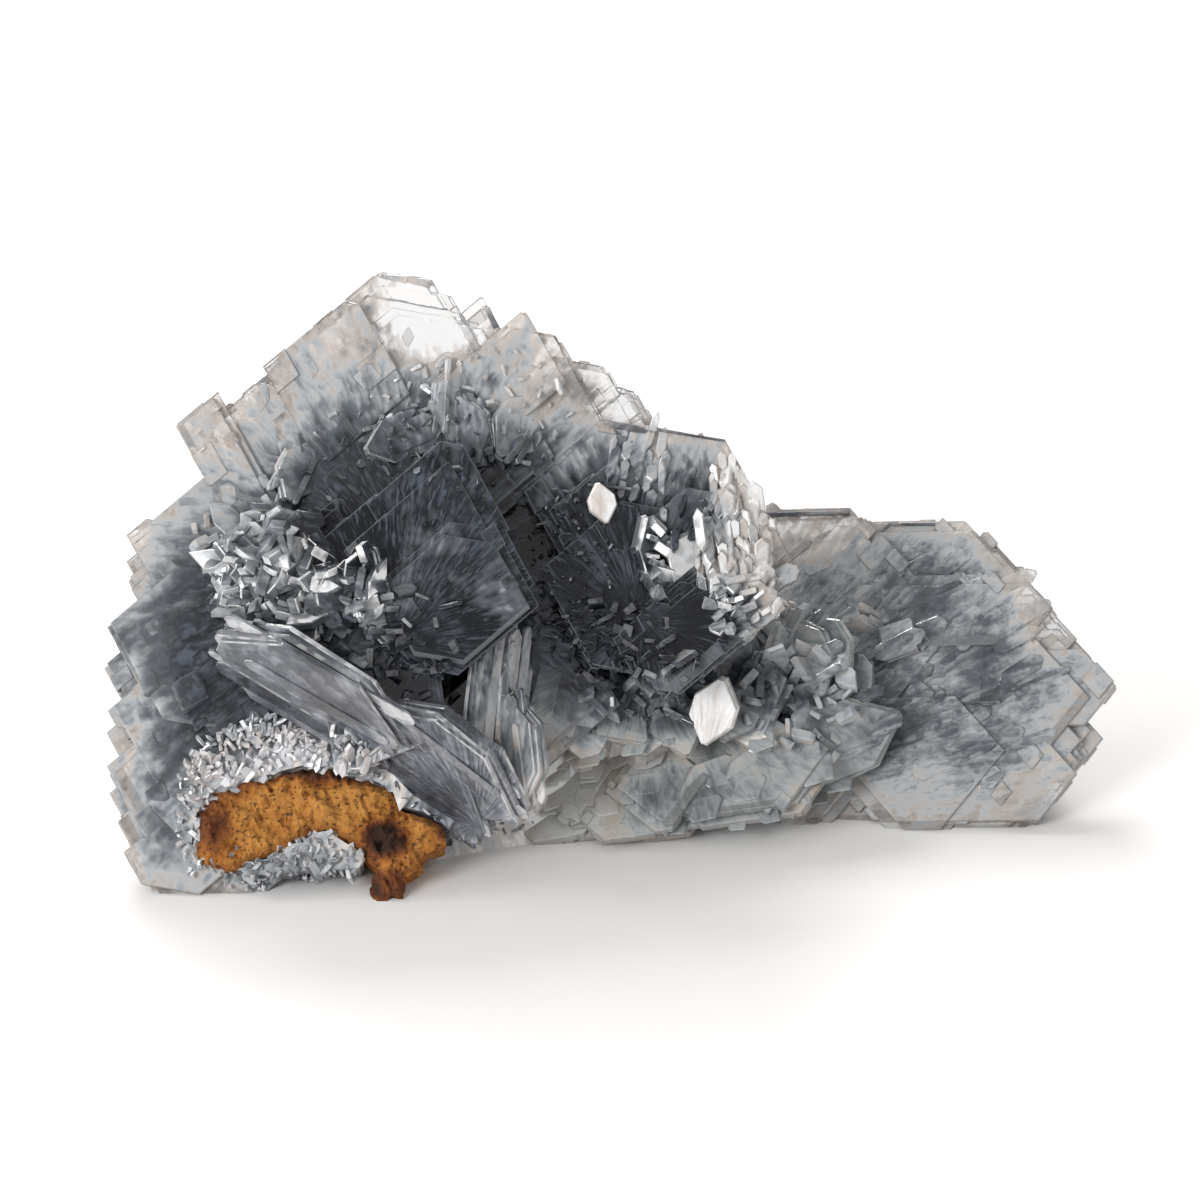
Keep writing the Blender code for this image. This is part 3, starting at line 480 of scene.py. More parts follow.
PATCHES = (
    # the bright nest left of the middle, its bright facets painted highlights
    Patch(276, 575, 60, 56, -20, 1.4, 1.3, 2.8, 60, None, 0, "facet", "glassy_barite"),
    Patch(366, 585, 22, 40, 0, 1.2, 1.0, 2.4, 60, None, 0, "facet", "glassy_barite"),
    Patch(235, 560, 26, 60, -40, 1.3, 1.0, 2.2, 60, None, 0, "facet", "glassy_barite"),
    Patch(400, 630, 70, 50, 0, 2.6, 0.9, 2.0, 60, None, 0, "blade", "shaded_barite"),
    Patch(245, 529, 40, 9, -43, 0.8, 0.9, 1.6, 60, None, 0, "facet", "glassy_barite"),
    Patch(270, 600, 60, 40, -20, 1.6, 0.9, 2.2, 60, None, 0, "blade", "glassy_barite"),
    # the shade under the centre and beside the long blades
    Patch(335, 636, 90, 30, 6, 1.8, 1.0, 2.4, 50, None, 0, "blade", "shaded_barite"),
    Patch(420, 690, 60, 36, 0, 1.8, 1.0, 2.3, 45, None, 0, "blade", "shaded_barite"),
    # the hollow between centre and shoulder
    Patch(575, 570, 46, 90, -8, 1.0, 0.5, 1.3, 50, None, 0, "needle", "shaded_barite"),
    Patch(610, 640, 70, 40, 0, 1.5, 0.7, 2.0, 50, None, 0, "blade", "shaded_barite"),
    # the ribbed face of the shoulder, its silvery glints painted highlights
    Patch(738, 520, 40, 90, 14, 0.95, 1.3, 3.0, 32, "shoulder", 14, "lath", "painted_glint_barite"),
    Patch(640, 465, 34, 40, 0, 1.4, 1.2, 2.8, 26, "shoulder", -4, "lath", "smoky_barite"),
    Patch(690, 500, 30, 50, 8, 1.8, 1.0, 2.2, 40, "shoulder", -4, "lath", "shoulder_barite"),
    Patch(748, 606, 44, 34, -20, 1.1, 0.9, 2.0, 60, "shoulder", 30, "facet", "painted_glint_barite"),
    Patch(660, 560, 16, 40, 0, 1.5, 1.0, 2.2, 60, None, 0, "facet", "painted_glint_barite"),
    # thin blades on the fan's upper half
    Patch(480, 420, 100, 70, -10, 2.0, 0.6, 1.7, 60, None, 0, "needle", "smoky_barite"),
    Patch(430, 400, 50, 40, -10, 2.2, 0.6, 1.5, 60, None, 0, "needle", "glassy_barite"),
    Patch(345, 455, 85, 45, -40, 2.6, 0.6, 1.5, 60, None, 0, "needle", "smoky_barite"),
    # flakes that lie nearly flat on the families' faces
    Patch(330, 430, 130, 80, -40, 6.0, 0.7, 1.8, 3, "fan", 0, "flake", "fan_barite"),
    Patch(190, 690, 50, 150, 4, 6.0, 0.7, 1.8, 3, "fan", 0, "flake", "fan_barite"),
    Patch(440, 560, 84, 84, -30, 5.0, 0.7, 1.6, 3, "centre", 0, "flake", "centre_barite"),
    Patch(490, 815, 56, 24, 0, 0.9, 0.5, 1.3, 60, None, 0, "needle", "lilac_barite"),
    Patch(945, 675, 115, 120, 0, 3.6, 1.2, 3.2, 3, "slab", -64, "shingle", "slab_barite"),
    Patch(830, 600, 60, 70, 0, 3.6, 0.8, 2.6, 4, "slab", -60, "shingle", "slab_barite"),
    Patch(690, 785, 160, 52, -4, 3.6, 0.9, 2.8, 5, "apron", -50, "flake", "apron_barite"),
    # the crowd at the right of the middle
    Patch(660, 690, 80, 40, 0, 1.7, 0.9, 2.2, 45, None, 0, "blade", "smoky_barite"),
    Patch(800, 700, 60, 56, 0, 1.7, 1.0, 2.6, 45, None, 0, "blade", "smoky_barite"),
    # the white crust round the remnant
    Patch(248, 752, 68, 34, -18, 0.5, 0.7, 1.7, 60, None, 0, "needle", "sugary_barite"),
    Patch(196, 815, 22, 66, 0, 0.6, 0.7, 1.5, 60, None, 0, "needle", "sugary_barite"),
    Patch(330, 745, 90, 30, 14, 0.52, 0.7, 1.7, 60, None, 0, "needle", "sugary_barite"),
    # the crust under the remnant, darkened as painted shade
    Patch(290, 862, 90, 30, -4, 0.6, 0.7, 1.5, 60, None, 0, "needle", "painted_shade_crust_barite"),
    Patch(420, 800, 56, 44, 30, 1.2, 0.6, 1.4, 60, None, 0, "needle", "lilac_barite"),
    # plates that lie over the apron's left end
    Patch(596, 785, 60, 40, 0, 2.2, 0.7, 2.0, 9, "apron", -50, "flake", "apron_barite"),
)
PATCH_GRID = 5.0
PATCH_JUMP = 2.2 * MM
BARE_PIECES = ("white_blades", "sheaf_blades", "upright_blades")
SHAPES = ("blade", "lath", "flake", "shingle", "facet", "needle")
DEEP_IN = 2.0
BACK_TOOTH = 1.8


def turned(pitch, yaw, spin, roll=0.0):
    """Axes of a blade as seen on the sheet: across it, along it, and out of its face."""
    view = Matrix((RIGHT, UP, NEAR)).transposed()
    return (
        view
        @ Matrix.Rotation(math.radians(-pitch), 3, "X")
        @ Matrix.Rotation(math.radians(yaw), 3, "Y")
        @ Matrix.Rotation(math.radians(spin), 3, "Z")
        @ Matrix.Rotation(math.radians(roll), 3, "Y")
    )


def seen_at(u, v, depth):
    """The point seen at (u, v) of the sheet, depth metres behind it."""
    spread = (SHEET_DISTANCE + depth) / SHEET_DISTANCE
    across = (u - SHEET_MIDDLE) * SHEET_UNIT * spread
    height = (SHEET_MIDDLE - v) * SHEET_UNIT * spread
    return SHEET_PLACE + RIGHT * across + UP * height - NEAR * depth


def on_sheet(point):
    """A point's place across the sheet, up it and towards the viewer."""
    return Vector((point.dot(RIGHT), point.dot(UP), point.dot(NEAR)))


def on_plane(u, v, family, axes, layer):
    """The point of a family's layer that is seen at (u, v)."""
    normal = axes.col[2]
    start = seen_at(family.u, family.v, family.depth * MM) + normal * layer
    ray = seen_at(u, v, 0.0) - EYE
    return EYE + ray * ((start - EYE).dot(normal) / ray.dot(normal))


def clipped(polygon, direction, reach):
    """The part of a convex polygon within reach of the middle in one direction."""
    kept = []
    for i, point in enumerate(polygon):
        following = polygon[(i + 1) % len(polygon)]
        here, there = point.dot(direction) - reach, following.dot(direction) - reach
        if here <= 0:
            kept.append(point)
        if here * there < 0:
            kept.append(point.lerp(following, here / (here - there)))
    return kept


def blade_outline(reaches, inset=0.0):
    """A blade's outline in mm, from its reach towards each of its eight sides."""
    far = 1000.0
    polygon = [Vector(p) for p in ((-far, -far), (far, -far), (far, far), (-far, far))]
    for direction, reach in zip(SIDES, reaches):
        polygon = clipped(polygon, direction, reach - inset)
    return polygon


def both_ways(falling, rising, ends, sides=500.0):
    """The reaches of a blade that is the same on both sides of its middle."""
    return (falling, falling, rising, rising, ends, ends, sides, sides)


def blade_body(reaches, middle, axes, thickness, tone, zone=None, bevel=TRIM):
    """A closed mesh of one blade, whose faces know their place on the blade for its colouring."""
    shape = bmesh.new()
    bevel = min(bevel, 0.4 * thickness)
    for inset, level in ((0.0, thickness / 2 - bevel), (0.0, bevel - thickness / 2),
                         (bevel, thickness / 2), (bevel, -thickness / 2)):
        for p in blade_outline(reaches, inset):
            shape.verts.new(middle + axes @ Vector((p.x, p.y, level)) * MM)
    made = bmesh.ops.convex_hull(shape, input=shape.verts)
    inner = [v for v in made["geom_interior"] if isinstance(v, bmesh.types.BMVert)]
    bmesh.ops.delete(shape, geom=inner, context="VERTS")
    bmesh.ops.recalc_face_normals(shape, faces=shape.faces)
    mesh = bpy.data.meshes.new("body")
    shape.to_mesh(mesh)
    shape.free()
    mark(mesh, middle, axes, zone or reaches, tone)
    return mesh


def mark(mesh, middle, axes, reaches, tone):
    """Writes each face's place on its blade, the blade's reach and its tone as attributes."""
    to_blade = axes.transposed()
    place = mesh.attributes.new("on_blade", "FLOAT_VECTOR", "CORNER")
    local = [to_blade @ (v.co - middle) / MM for v in mesh.vertices]
    place.data.foreach_set("vector", [c for loop in mesh.loops for c in local[loop.vertex_index]])
    count = len(mesh.polygons)
    reach = mesh.attributes.new("reach", "FLOAT_VECTOR", "FACE")
    reach.data.foreach_set("vector", [reaches[0], reaches[2], min(reaches[4], 90.0)] * count)
    tones = mesh.attributes.new("tone", "FLOAT", "FACE")
    tones.data.foreach_set("value", [tone] * count)
    # a random value per face, from its facing, that picks the facets which get a painted highlight
    glints = mesh.attributes.new("glint", "FLOAT", "FACE")
    facing = [to_blade @ p.normal for p in mesh.polygons]
    glints.data.foreach_set("value", [abs(7.3 * n.x + 4.1 * n.y + 2.7 * n.z) % 1 for n in facing])


def stacked_sheets(reaches, middle, axes, thickness, dice, step, count):
    """A blade as a stack of thin sheets, one of them full size and the others stepped back."""
    bodies = []
    full = dice.randrange(count)
    pitch = thickness / count
    for i in range(count):
        level = (i - (count - 1) / 2) * pitch
        stepped = reaches
        if i != full:
            stepped = [r - dice.random() ** 2 * step for r in reaches]
        place = middle + axes.col[2] * level * MM
        tone = dice.random()
        bodies.append(blade_body(stepped, place, axes, pitch * 1.35, tone))
    return bodies


def rim_teeth(reaches, middle, axes, thickness, dice, settings, largest):
    """Small parallel blades along a blade's rim, which give it its saw-toothed edge."""
    bodies = []
    outline = blade_outline(reaches)
    for i, start in enumerate(outline):
        end = outline[(i + 1) % len(outline)]
        length = (end - start).length
        outwards = Vector((end.y - start.y, start.x - end.x)) / max(length, 1e-6)
        for _ in range(int(length / settings.tooth_spacing)):
            size = dice.uniform(0.4, 1.0) * largest
            tooth = both_ways(size * dice.uniform(0.6, 1.3), size * dice.uniform(0.6, 1.3), size * 1.3)
            support = max(p.dot(outwards) for p in blade_outline(tooth))
            seat = start.lerp(end, dice.uniform(0.06, 0.94)) - outwards * (support - dice.uniform(0, settings.tooth_height))
            level = dice.uniform(-0.45, 0.45) * thickness
            place = middle + axes @ Vector((seat.x, seat.y, level)) * MM
            thick = thickness * dice.uniform(0.25, 0.55)
            tone = dice.random()
            bodies.append(blade_body(tooth, place, axes, thick, tone, bevel=0.06))
    return bodies


def family_bodies(family, blades, settings, tooth, seed):
    """All the sheets and teeth of one growth family."""
    dice = random.Random(seed)
    axes = turned(family.pitch, family.yaw, family.spin)
    bodies = []
    for count, blade in enumerate(blades):
        reaches = both_ways(blade.falling, blade.rising, blade.ends)
        corner = Vector((0, 0))
        direction = Vector(CORNERS[blade.corner])
        if direction.length:
            corner = max(blade_outline(reaches), key=direction.dot)
        place = on_plane(blade.u, blade.v, family, axes, blade.layer * MM)
        middle = place - axes @ Vector((corner.x, corner.y, 0)) * MM
        thickness = BLADE_THICKNESS * (1.0 + 0.13 * ((count * 5) % 7 - 3) / 3)
        bodies += stacked_sheets(
            reaches, middle, axes, thickness, dice, settings.sheet_step, settings.sheets
        )
        bodies += rim_teeth(
            reaches, middle, axes, thickness, dice, settings, tooth
        )
    return bodies


def lone_bodies(crystals, dice, laths, splay):
    """Crystals that stand across the families, each a bundle of nearly parallel sheets."""
    bodies = []
    for c in crystals:
        axes = turned(c.pitch, c.yaw, c.spin, c.roll)
        middle = seen_at(c.u, c.v, c.depth * MM)
        prism = c.tip * math.sin(PRISM_HALF_ANGLE)
        reaches = both_ways(prism, prism, 0.9 * c.tip, c.width)
        count = max(1, min(laths, round(c.thick / 0.45)))
        for i in range(count):
            level = (i - (count - 1) / 2) * c.thick / count
            turn = Matrix.Rotation(math.radians(dice.uniform(-splay, splay)), 3, "Z")
            slide = dice.uniform(-0.06, 0.0) * c.tip if i else 0.0
            place = middle + axes @ Vector((0, slide, level)) * MM
            stepped = [r - dice.random() * 0.06 * c.tip if i else r for r in reaches]
            tone = dice.random()
            bodies.append(blade_body(stepped, place, axes @ turn, 1.3 * c.thick / count, tone))
    return bodies


def fibre_bodies(crystals, dice, count, splay):
    """Narrow laths along a crystal, which make it a fibrous bundle."""
    bodies = []
    for c in crystals:
        axes = turned(c.pitch, c.yaw, c.spin, c.roll)
        middle = seen_at(c.u, c.v, c.depth * MM)
        for _ in range(count):
            size = c.tip * dice.uniform(0.55, 0.98)
            width = c.width * dice.uniform(0.08, 0.2)
            across = dice.uniform(-0.85, 0.85) * (c.width - width)
            along = dice.uniform(-1.0, 1.0) * (c.tip - size)
            level = dice.uniform(-0.62, 0.62) * c.thick
            turn = Matrix.Rotation(math.radians(dice.uniform(-splay, splay)), 3, "Z")
            place = middle + axes @ Vector((across, along, level)) * MM
            reaches = both_ways(0.62 * size, 0.62 * size, 0.95 * size, width)
            thick = dice.uniform(0.25, 0.7)
            bodies.append(blade_body(reaches, place, axes @ turn, thick, dice.random(), bevel=0.06))
    return bodies


def edge_bodies(edges):
    """Thin laths from one place on the sheet to another, along a family's face."""
    bodies = []
    for number, edge in enumerate(edges):
        family = FAMILIES[edge.family][0]
        axes = turned(family.pitch, family.yaw, family.spin)
        start = on_plane(edge.u, edge.v, family, axes, edge.layer * MM)
        end = on_plane(edge.to_u, edge.to_v, family, axes, edge.layer * MM)
        along = (end - start).normalized()
        across = along.cross(axes.col[2])
        lath = Matrix((across, along, axes.col[2])).transposed()
        reaches = both_ways(500.0, 500.0, (end - start).length / (2 * MM), edge.width)
        middle = (start + end) / 2
        bodies.append(blade_body(reaches, middle, lath, edge.thick, (number * 0.37) % 1, bevel=0.05))
    return bodies


def buttress_bodies(dice, settings):
    """The blades of the back."""
    bodies = []
    for b in BUTTRESSES:
        axes = (
            Matrix.Rotation(math.radians(b.turn), 3, "Z")
            @ Matrix.Rotation(math.radians(90 - b.lean), 3, "X")
            @ Matrix.Rotation(math.radians(b.spin), 3, "Z")
        )
        middle = ON_FLOOR + Vector((b.x, b.y, b.z)) * MM
        prism = b.tip * math.sin(PRISM_HALF_ANGLE)
        reaches = both_ways(prism, prism, 0.9 * b.tip, b.width)
        bodies += stacked_sheets(
            reaches, middle, axes, b.thick, dice, settings.sheet_step, settings.sheets
        )
        bodies += rim_teeth(
            reaches, middle, axes, b.thick, dice, settings, BACK_TOOTH
        )
    return bodies


def wedge_bodies():
    """The massive barite in the middle."""
    bodies = []
    for corners in WEDGES:
        shape = bmesh.new()
        for corner in corners:
            shape.verts.new(ON_FLOOR + Vector(corner) * MM)
        bmesh.ops.convex_hull(shape, input=shape.verts)
        bmesh.ops.recalc_face_normals(shape, faces=shape.faces)
        mesh = bpy.data.meshes.new("wedge")
        shape.to_mesh(mesh)
        shape.free()
        middle = sum((v.co for v in mesh.vertices), Vector()) / len(mesh.vertices)
        mark(mesh, middle, Matrix.Identity(3), both_ways(30, 30, 30), 0.5)
        bodies.append(mesh)
    return bodies


def bed_bodies():
    """The thick beds under the crust."""
    axes = turned(MATRIX_FACE.pitch, 0, 4)
    bodies = []
    for bed in CRUST_BEDS:
        middle = on_plane(bed.u, bed.v, MATRIX_FACE, axes, bed.layer * MM)
        reaches = both_ways(bed.falling, bed.rising, bed.ends)
        bodies.append(blade_body(reaches, middle, axes, BED_THICKNESS, 0.5))
    return bodies


def joined(name, bodies, cuts=()):
    """One solid mesh object from overlapping bodies, cut off at the floor and by other meshes."""
    scene = bpy.context.scene.collection
    operands = bpy.data.collections.new("operands")
    scene.children.link(operands)
    first, *others = [bpy.data.objects.new("body", mesh) for mesh in bodies]
    scene.objects.link(first)
    for other in others:
        operands.objects.link(other)
    union = first.modifiers.new("join", "BOOLEAN")
    union.operation, union.solver = "UNION", "MANIFOLD"
    union.operand_type, union.collection = "COLLECTION", operands
    cutters = [bpy.data.objects.new("cutter", mesh) for mesh in (below_floor(), *cuts)]
    for cutter in cutters:
        scene.objects.link(cutter)
        cut = first.modifiers.new("cut", "BOOLEAN")
        cut.operation, cut.solver, cut.object = "DIFFERENCE", "MANIFOLD", cutter
    made = plain(first, name)
    for spare in (first, *others, *cutters):
        mesh = spare.data
        bpy.data.objects.remove(spare)
        bpy.data.meshes.remove(mesh)
    bpy.data.collections.remove(operands)
    return made


def below_floor():
    """A block under the floor, which cuts the specimen's base flat."""
    shape = bmesh.new()
    bmesh.ops.create_cube(shape, size=1.0)
    low, high = CAD_BOX
    size = (high - low) * 2
    bmesh.ops.scale(shape, vec=size, verts=shape.verts)
    bmesh.ops.translate(shape, vec=(0, 0, low.z - size.z / 2), verts=shape.verts)
    mesh = bpy.data.meshes.new("below_floor")
    shape.to_mesh(mesh)
    shape.free()
    return mesh


def plain(source, name):
    """A plain mesh object from an object with live modifiers, kept inside the solids' box."""
    depsgraph = bpy.context.evaluated_depsgraph_get()
    mesh = bpy.data.meshes.new_from_object(source.evaluated_get(depsgraph))
    mesh.name = name
    low, high = CAD_BOX
    for vert in mesh.vertices:
        vert.co = [min(max(c, a), b) for c, a, b in zip(vert.co, low, high)]
    made = bpy.data.objects.new(name, mesh)
    bpy.context.scene.collection.objects.link(made)
    return made


def stand_for(piece, node, finish):
    """Gives a piece its finish and puts it in the place of a solid."""
    piece.data.materials.clear()
    piece.data.materials.append(finish)
    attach(piece, "root")
    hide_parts(node)


# Materials


class Wiring:
    """Adds nodes to a tree, with sockets or numbers as their inputs."""

    def __init__(self, tree):
        self.tree = tree

    def add(self, kind, inputs=None, **settings):
        made = self.tree.nodes.new(kind)
        for name, value in settings.items():
            setattr(made, name, value)
        for key, value in (inputs or {}).items():
            socket = made.inputs[key]
            if isinstance(value, bpy.types.NodeSocket):
                self.tree.links.new(value, socket)
            else:
                socket.default_value = value
        return made

    def math(self, operation, *values, clamp=False):
        made = self.add("ShaderNodeMath", dict(enumerate(values)), operation=operation)
        made.use_clamp = clamp
        return made.outputs[0]

    def vector(self, operation, *values):
        made = self.add("ShaderNodeVectorMath", dict(enumerate(values)), operation=operation)
        return made.outputs["Value" if operation in ("DOT_PRODUCT", "DISTANCE", "LENGTH") else 0]

    def between(self, value, start, end, low=0.0, high=1.0, smooth=True):
        inputs = {"Value": value, "From Min": start, "From Max": end, "To Min": low, "To Max": high}
        kind = "SMOOTHSTEP" if smooth else "LINEAR"
        return self.add("ShaderNodeMapRange", inputs, interpolation_type=kind).outputs[0]

    def noise(self, where, scale, detail=3.0, rough=0.55, twist=0.0):
        inputs = {"Vector": where, "Scale": scale, "Detail": detail, "Roughness": rough,
                  "Distortion": twist}
        return self.add("ShaderNodeTexNoise", inputs).outputs[0]

    def mixed(self, share, colour, other, blend="MIX"):
        inputs = {0: share, 6: colour, 7: other}
        return self.add("ShaderNodeMix", inputs, data_type="RGBA", blend_type=blend).outputs[2]

    def ramp(self, value, *stops):
        made = self.add("ShaderNodeValToRGB", {0: value})
        ramp = made.color_ramp
        while len(ramp.elements) < len(stops):
            ramp.elements.new(0.5)
        for element, (position, colour) in zip(ramp.elements, stops):
            element.position = position
            element.color = (*colour[:3], 1.0)
        return made.outputs[0]


def new_material(name):
    """An empty node material: its wiring, its principled shader and its output."""
    made = bpy.data.materials.new(name)
    made.use_nodes = True
    nodes = made.node_tree.nodes
    return made, Wiring(made.node_tree), nodes["Principled BSDF"], nodes["Material Output"]


def strongest(wire, sheet, cores):
    """The strongest of several ellipsoids at a place."""
    most = 0.0
    for core in cores:
        middle = on_sheet(seen_at(core.u, core.v, core.depth * MM)) / MM
        size = (core.wide * SHEET_UNIT / MM, core.high * SHEET_UNIT / MM, CORE_DEPTH)
        shifted = wire.vector("SUBTRACT", sheet, tuple(middle))
        away = wire.vector("LENGTH", wire.vector("DIVIDE", shifted, size))
        most = wire.math("MAXIMUM", most, wire.between(away, 1.0, CORE_HEART, 0.0, core.strength))
    return most


def barite(name, settings):
    """Clear to smoky barite, darker towards the specimen's middle and the hearts of its blades, with painted
    shade in its hollows, painted light on a few spots and painted highlights on facets.
    """
    finish = FINISHES[name]
    made, wire, shader, output = new_material(name)
    place = wire.add("ShaderNodeTexCoord").outputs["Object"]
    mm = wire.vector("SCALE", place)
    mm.node.inputs["Scale"].default_value = 1 / MM
    blade = wire.add("ShaderNodeAttribute", attribute_name="on_blade").outputs["Vector"]
    reach = wire.add("ShaderNodeAttribute", attribute_name="reach").outputs["Vector"]
    tone = wire.add("ShaderNodeAttribute", attribute_name="tone").outputs["Fac"]

    # how far in from the nearest side of the blade, in mm
    sides = wire.add("ShaderNodeSeparateXYZ", {0: reach}).outputs
    falling = wire.math("ABSOLUTE", wire.vector("DOT_PRODUCT", blade, (*FALLING, 0.0)))
    rising = wire.math("ABSOLUTE", wire.vector("DOT_PRODUCT", blade, (*RISING, 0.0)))
    ends = wire.math("ABSOLUTE", wire.vector("DOT_PRODUCT", blade, (0.0, 1.0, 0.0)))
    inset = wire.math("MINIMUM", wire.math("SUBTRACT", sides[0], falling),
                      wire.math("SUBTRACT", sides[1], rising))
    inset = wire.math("MINIMUM", inset, wire.math("SUBTRACT", sides[2], ends))

    # the place across the sheet, up it and towards the viewer, in mm
    dots = [wire.vector("DOT_PRODUCT", mm, tuple(axis)) for axis in (RIGHT, UP, NEAR)]
    sheet = wire.add("ShaderNodeCombineXYZ", dict(enumerate(dots))).outputs[0]
    # smoky colour together with painted shade from the cores, and the clearest spots together with painted
    # light
    smoke = strongest(wire, sheet, CORES)
    clearing_and_painted_light = strongest(wire, sheet, CLEARINGS_AND_PAINTED_LIGHT)

    # feathery streaks that run out from the growth's root, over broad clouds and fine mottling
    mottle = wire.noise(mm, 0.6, 1.5, 0.6)
    clouds = wire.noise(mm, 0.16, 0.0)
    root = on_sheet(seen_at(*finish.root, 0.0)) / MM
    outward = wire.vector("SUBTRACT", sheet, (root.x, root.y, 0.0))
    outward = wire.vector("MULTIPLY", outward, (1.0, 1.0, 0.0))
    distance = wire.vector("LENGTH", outward)
    bend = wire.math("MULTIPLY_ADD", mottle, 0.05, wire.math("MULTIPLY", tone, 0.5))
    bearing = wire.vector("ADD", wire.vector("NORMALIZE", outward), bend)
    stretch = wire.math("MULTIPLY", distance, 0.26 / finish.fine)
    along = wire.add("ShaderNodeCombineXYZ", {2: stretch}).outputs[0]
    streak_place = wire.vector("ADD", wire.vector("MULTIPLY", bearing, (1.0, 1.0, 0.0)), along)
    streaks = wire.noise(streak_place, finish.fine, 2.0, 0.6)
    hair = wire.noise(streak_place, 2.0 * finish.fine, 1.0, 0.5)

    dark = wire.math("MULTIPLY_ADD", smoke, finish.smoke, finish.lift)
    for texture, amount in ((streaks, 0.72), (clouds, 0.45), (mottle, 0.5), (tone, 0.16)):
        share = amount * finish.mottled
        dark = wire.math("ADD", dark, wire.math("MULTIPLY_ADD", texture, share, -share / 2))
    dark = wire.math("ADD", dark, wire.between(inset, 0.0, 2.4, -0.09, 0.0))
    depth = wire.math("SUBTRACT", dark, clearing_and_painted_light)
    dark = wire.math("ADD", depth, 0.0, clamp=True)

    colour = wire.ramp(
        dark,
        (0.0, settings.clear_tip),
        (0.18, settings.brown_rim),
        (0.36, settings.blue_band),
        (0.66, settings.slate_band),
        (0.92, settings.smoky_heart),
    )
    tinted = wire.mixed(1.0, colour, (*finish.tint, 1.0), "MULTIPLY")
    wisps = wire.math("MULTIPLY", wire.between(hair, 0.48, 0.78, 0.0, 0.55),
                      wire.between(depth, 0.25, 0.7))
    wisps = wire.math("MULTIPLY", wisps, wire.between(depth, 1.5, 1.15))
    fog = wire.between(wire.math("MULTIPLY_ADD", mottle, 0.5, clouds), 0.66, 1.0, 0.0, 0.55)
    fog = wire.math("MULTIPLY", fog, wire.between(depth, 0.7, 1.1))
    fog = wire.math("MULTIPLY", fog, wire.between(streaks, 0.36, 0.64, 0.05, 1.0))
    wisps = wire.math("MAXIMUM", wisps, fog)
    feathered = wire.mixed(wisps, tinted, (*settings.wisp, 1.0))
    outline = wire.between(inset, 0.15, 0.03, 0.0, 0.4)
    line = wire.mixed(
        wire.between(depth, 0.4, 0.8), (*settings.outline, 1.0), (*settings.pale_line, 1.0)
    )
    edged = wire.mixed(outline, feathered, line)
    # painted highlights: facets picked at random by tone and facing are painted near white and let less light
    # through, as if they caught a lamp
    facing = wire.add("ShaderNodeAttribute", attribute_name="glint").outputs["Fac"]
    chance = wire.math("FRACT", wire.math("MULTIPLY_ADD", tone, 5.7, facing))
    glint = wire.between(chance, 0.55, 0.85, 0.0, finish.sparkle)
    glint = wire.math("MULTIPLY", glint, wire.between(mottle, 0.36, 0.58, 0.25, 1.0))
    paint = wire.mixed(glint, edged, (*settings.glint, 1.0))
    shader.inputs["IOR"].default_value = 1.636
    shader.inputs["Specular IOR Level"].default_value = finish.gloss
    wire.tree.links.new(paint, shader.inputs["Base Color"])
    see_through = wire.between(dark, 0.0, 0.38, finish.see_through, finish.cloudy)
    see_through = wire.math("MULTIPLY", see_through, wire.math("SUBTRACT", 1.0, glint))
    wire.tree.links.new(see_through, shader.inputs["Transmission Weight"])
    wire.tree.links.new(wire.between(mottle, 0.35, 0.65, 0.07, 0.26), shader.inputs["Roughness"])

    if finish.small:
        return made

    # growth lines parallel to the rim, a finely uneven face, and what the inside absorbs
    grain = wire.noise(mm, 2.0, 0.0)
    lines = wire.math("SINE", wire.math("MULTIPLY", inset, 7.0))
    lines = wire.math("MULTIPLY", lines, wire.between(inset, 3.5, 0.5, 0.0, 0.12))
    relief = wire.math("ADD", lines, grain)
    bump = wire.add("ShaderNodeBump", {"Strength": 0.35, "Distance": 0.12 * MM, "Height": relief})
    wire.tree.links.new(bump.outputs[0], shader.inputs["Normal"])
    absorb = wire.add(
        "ShaderNodeVolumeAbsorption",
        {"Color": (*settings.absorption, 1.0), "Density": settings.absorption_density},
    )
    wire.tree.links.new(absorb.outputs[0], output.inputs["Volume"])
    return made


